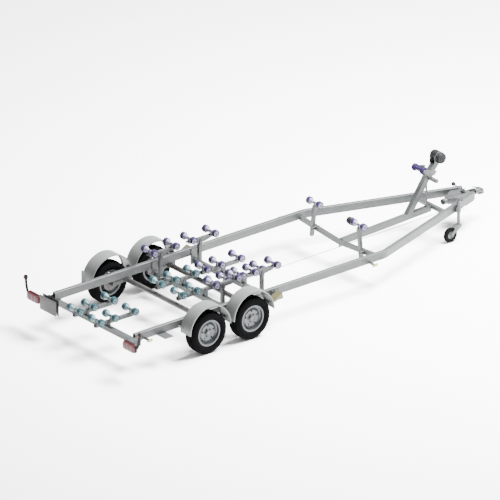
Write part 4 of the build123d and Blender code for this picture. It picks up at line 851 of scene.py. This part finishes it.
# Frame bolts: seat, direction it faces and size, for both sides of the trailer
BEAM_OUT = 0.930
BEAM_IN = 0.870
HANGER_T = 0.008
CRADLE_CROSSES = (-0.897, -1.603)
BOLTS = []
for centre_x in CRADLE_CROSSES:
    # hangers of the cradle cross members, bolted through the beams
    for dx in (-0.058, 0.058):
        for z in (0.438, 0.494):
            BOLTS.append(((centre_x + dx, BEAM_OUT, z), (0, 1, 0), M12))
            BOLTS.append(((centre_x + dx, BEAM_IN - HANGER_T, z), (0, -1, 0), M12))
for x in (1.015, 1.045):
    BOLTS.append(((x, BEAM_OUT, 0.433), (0, 1, 0), M10))
for x in (-3.378, -3.322):
    BOLTS.append(((x, BEAM_Y, 0.330), (0, 0, -1), M12))
    BOLTS.append(((x, BEAM_OUT, 0.500), (0, 1, 0), M8))
for x in (-2.985, -2.905):
    for y in (0.975, 1.045):
        BOLTS.append(((x, y, 0.408), (0, 0, 1), 0.011))
for x in (-0.985, -0.925):
    BOLTS.append(((x, 0.946, 0.425), (0, 0, 1), 0.011))
screws = bmesh.new()
for place, facing, size in BOLTS:
    for sign in (1, -1):
        bolt(screws, (place[0], sign * place[1], place[2]), (facing[0], sign * facing[1], facing[2]), size)
piece("frame_bolts", screws, "rod_steel")

# U-bolts that hold the bogie posts and the front posts to their cross members
U_SPREAD = 0.064
U_SIZE = 0.014
BOGIE_POST_Y = 0.695
BOGIE_POSTS = ((-1.658, -1.573), (-0.952, -0.867))
FRONT_POST = (0.945, 1.060)
FRONT_POST_FOOT = (0.556, 0.285)
FRONT_POST_TOP = (0.492, 0.770)
bars = bmesh.new()
for post_x, cross_front in BOGIE_POSTS:
    for sign in (1, -1):
        y = sign * BOGIE_POST_Y
        for z in (0.298, 0.342):
            u_bolt(bars, (post_x - 0.0300, y, z), (cross_front, y, z), U_SPREAD, (0, 1, 0), U_SIZE)
slant = (FRONT_POST_FOOT[0] - FRONT_POST_TOP[0]) / (FRONT_POST_TOP[1] - FRONT_POST_FOOT[1])
for sign in (1, -1):
    for z in (0.402, 0.440):
        y = sign * (FRONT_POST_FOOT[0] - (z - FRONT_POST_FOOT[1]) * slant)
        u_bolt(bars, *((x, y, z - 0.012) for x in FRONT_POST), U_SPREAD, (0, 1, 0), U_SIZE)
piece("post_u_bolts", bars, "rod_steel")

# Jockey wheel: clamp screw with its T bar, clamp bolts and bands, tyre, hub, axle bolt heads
JOCKEY = (2.905, -0.368)
SCREW = (0.0295, 0.074)
SCREW_Z = 0.470
clamp = bmesh.new()
rod(clamp, [(JOCKEY[0] + out, JOCKEY[1], SCREW_Z) for out in SCREW], 0.006)
rod(clamp, [(JOCKEY[0] + SCREW[1], JOCKEY[1] + side * 0.040, SCREW_Z + side * 0.012) for side in (-1, 1)],
    0.005)
for sign in (1, -1):
    bolt(clamp, (JOCKEY[0] + 0.030, JOCKEY[1] + 0.046, 0.468 + sign * 0.022), (1, 0, 0), M8)
for height in (0.600, 0.560):
    lathe(clamp, ((0.0300, -0.006), (0.0320, -0.005), (0.0325, 0.0), (0.0320, 0.005), (0.0300, 0.006)),
          along((0, 0, 1), (*JOCKEY, height)), 32)
piece("jockey_clamp_screw", clamp, "coupling_steel")
JOCKEY_TYRE = (
    # radius, distance outward from the middle
    (0.052, 0.018), (0.058, 0.023), (0.086, 0.027), (0.100, 0.0255), (0.108, 0.020), (0.1115, 0.012),
    (0.1123, 0.004),
)
JOCKEY_HUB = (
    (0.0085, 0.027), (0.020, 0.027), (0.023, 0.024), (0.024, 0.012), (0.042, 0.010), (0.047, 0.020),
    (0.052, 0.0225), (0.0555, 0.0215),
)


def jockey_ring(half, steps):
    """Closed ring about the jockey wheel's axle, from one half of its section."""
    bm = bmesh.new()
    section = list(half) + [(radius, -out) for radius, out in reversed(half)]
    lathe(bm, section, along((0, 1, 0), JOCKEY_CENTRE), steps, closed=True)
    return bm


wheel = jockey_ring(JOCKEY_TYRE, 64)
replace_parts(piece("jockey_tyre", wheel, "jockey_rubber", "jockey_wheel"), "jockey_wheel")
wheel = jockey_ring(JOCKEY_HUB, 48)
piece("jockey_hub", wheel, "coupling_steel", "jockey_wheel")
fork_low, fork_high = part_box("jockey_fork")
axle = bmesh.new()
for y, facing in ((fork_low[1], -1), (fork_high[1], 1)):
    bolt(axle, (JOCKEY_CENTRE[0], y, JOCKEY_CENTRE[2]), (0, facing, 0), M12)
piece("jockey_axle_bolt", axle, "coupling_steel", "jockey_fork")

# Turnbuckle of the brake rod
TURNBUCKLE = (-1.150, 0, 0.2712)
ROD_SLOPE = 0.0083
nuts = bmesh.new()
lathe(nuts, ((0.0050, 0.0), (0.0090, 0.0), (0.0095, 0.004), (0.0095, 0.086), (0.0090, 0.090), (0.0050, 0.090)),
      along((1, 0, ROD_SLOPE), TURNBUCKLE), 6)
piece("brake_turnbuckle", nuts, "rod_steel")

# Floor, light and camera
FLOOR_TONE = 0.90
bpy.ops.mesh.primitive_plane_add(size=60.0, location=(0, 0, 0))
floor = bpy.context.object
floor.name = "floor"
floor_material, floor_tree, floor_shader = node_tree("floor")
floor_shader.inputs["Roughness"].default_value = 0.9
floor_cloud = texture(floor_tree, "ShaderNodeTexNoise", 0.4)
floor_tree.links.new(ramp(floor_tree, floor_cloud.outputs["Fac"],
                          ((0.3, grey(FLOOR_TONE)), (0.7, grey(FLOOR_TONE + 0.01)))),
                     floor_shader.inputs["Base Color"])
floor.data.materials.append(floor_material)

world = bpy.data.worlds.new("studio")
bpy.context.scene.world = world
world.use_nodes = True
world.node_tree.nodes["Background"].inputs["Color"].default_value = (1.0, 1.0, 1.0, 1.0)
world.node_tree.nodes["Background"].inputs["Strength"].default_value = 0.8


def area_light(name, place, aim, size, power):
    data = bpy.data.lights.new(name, "AREA")
    data.size = size
    data.energy = power
    light = bpy.data.objects.new(name, data)
    light.location = place
    light.rotation_euler = (Vector(aim) - Vector(place)).to_track_quat("-Z", "Y").to_euler()
    bpy.context.scene.collection.objects.link(light)


area_light("key", (5.5, -2.4, 13.0), (0, 0, 0.4), 7.0, 26000)

# The photo is all but a parallel view, so the camera stands far off with a long lens
AZIMUTH = math.radians(-39.0)
ELEVATION = math.radians(24.25)
DISTANCE = 300.0
FRAME_WIDTH = 7.042
SENSOR = 36.0
AIM = Vector((-0.600, 0.0, 0.699))
back = Vector((math.sin(AZIMUTH) * math.cos(ELEVATION), -math.cos(AZIMUTH) * math.cos(ELEVATION),
               math.sin(ELEVATION)))
camera_data = bpy.data.cameras.new("camera")
camera_data.sensor_width = SENSOR
camera_data.lens = SENSOR * DISTANCE / FRAME_WIDTH
camera_data.clip_end = 2 * DISTANCE
camera = bpy.data.objects.new("camera", camera_data)
camera.location = AIM + back * DISTANCE
camera.rotation_euler = (-back).to_track_quat("-Z", "Y").to_euler()
bpy.context.scene.collection.objects.link(camera)
bpy.context.scene.camera = camera
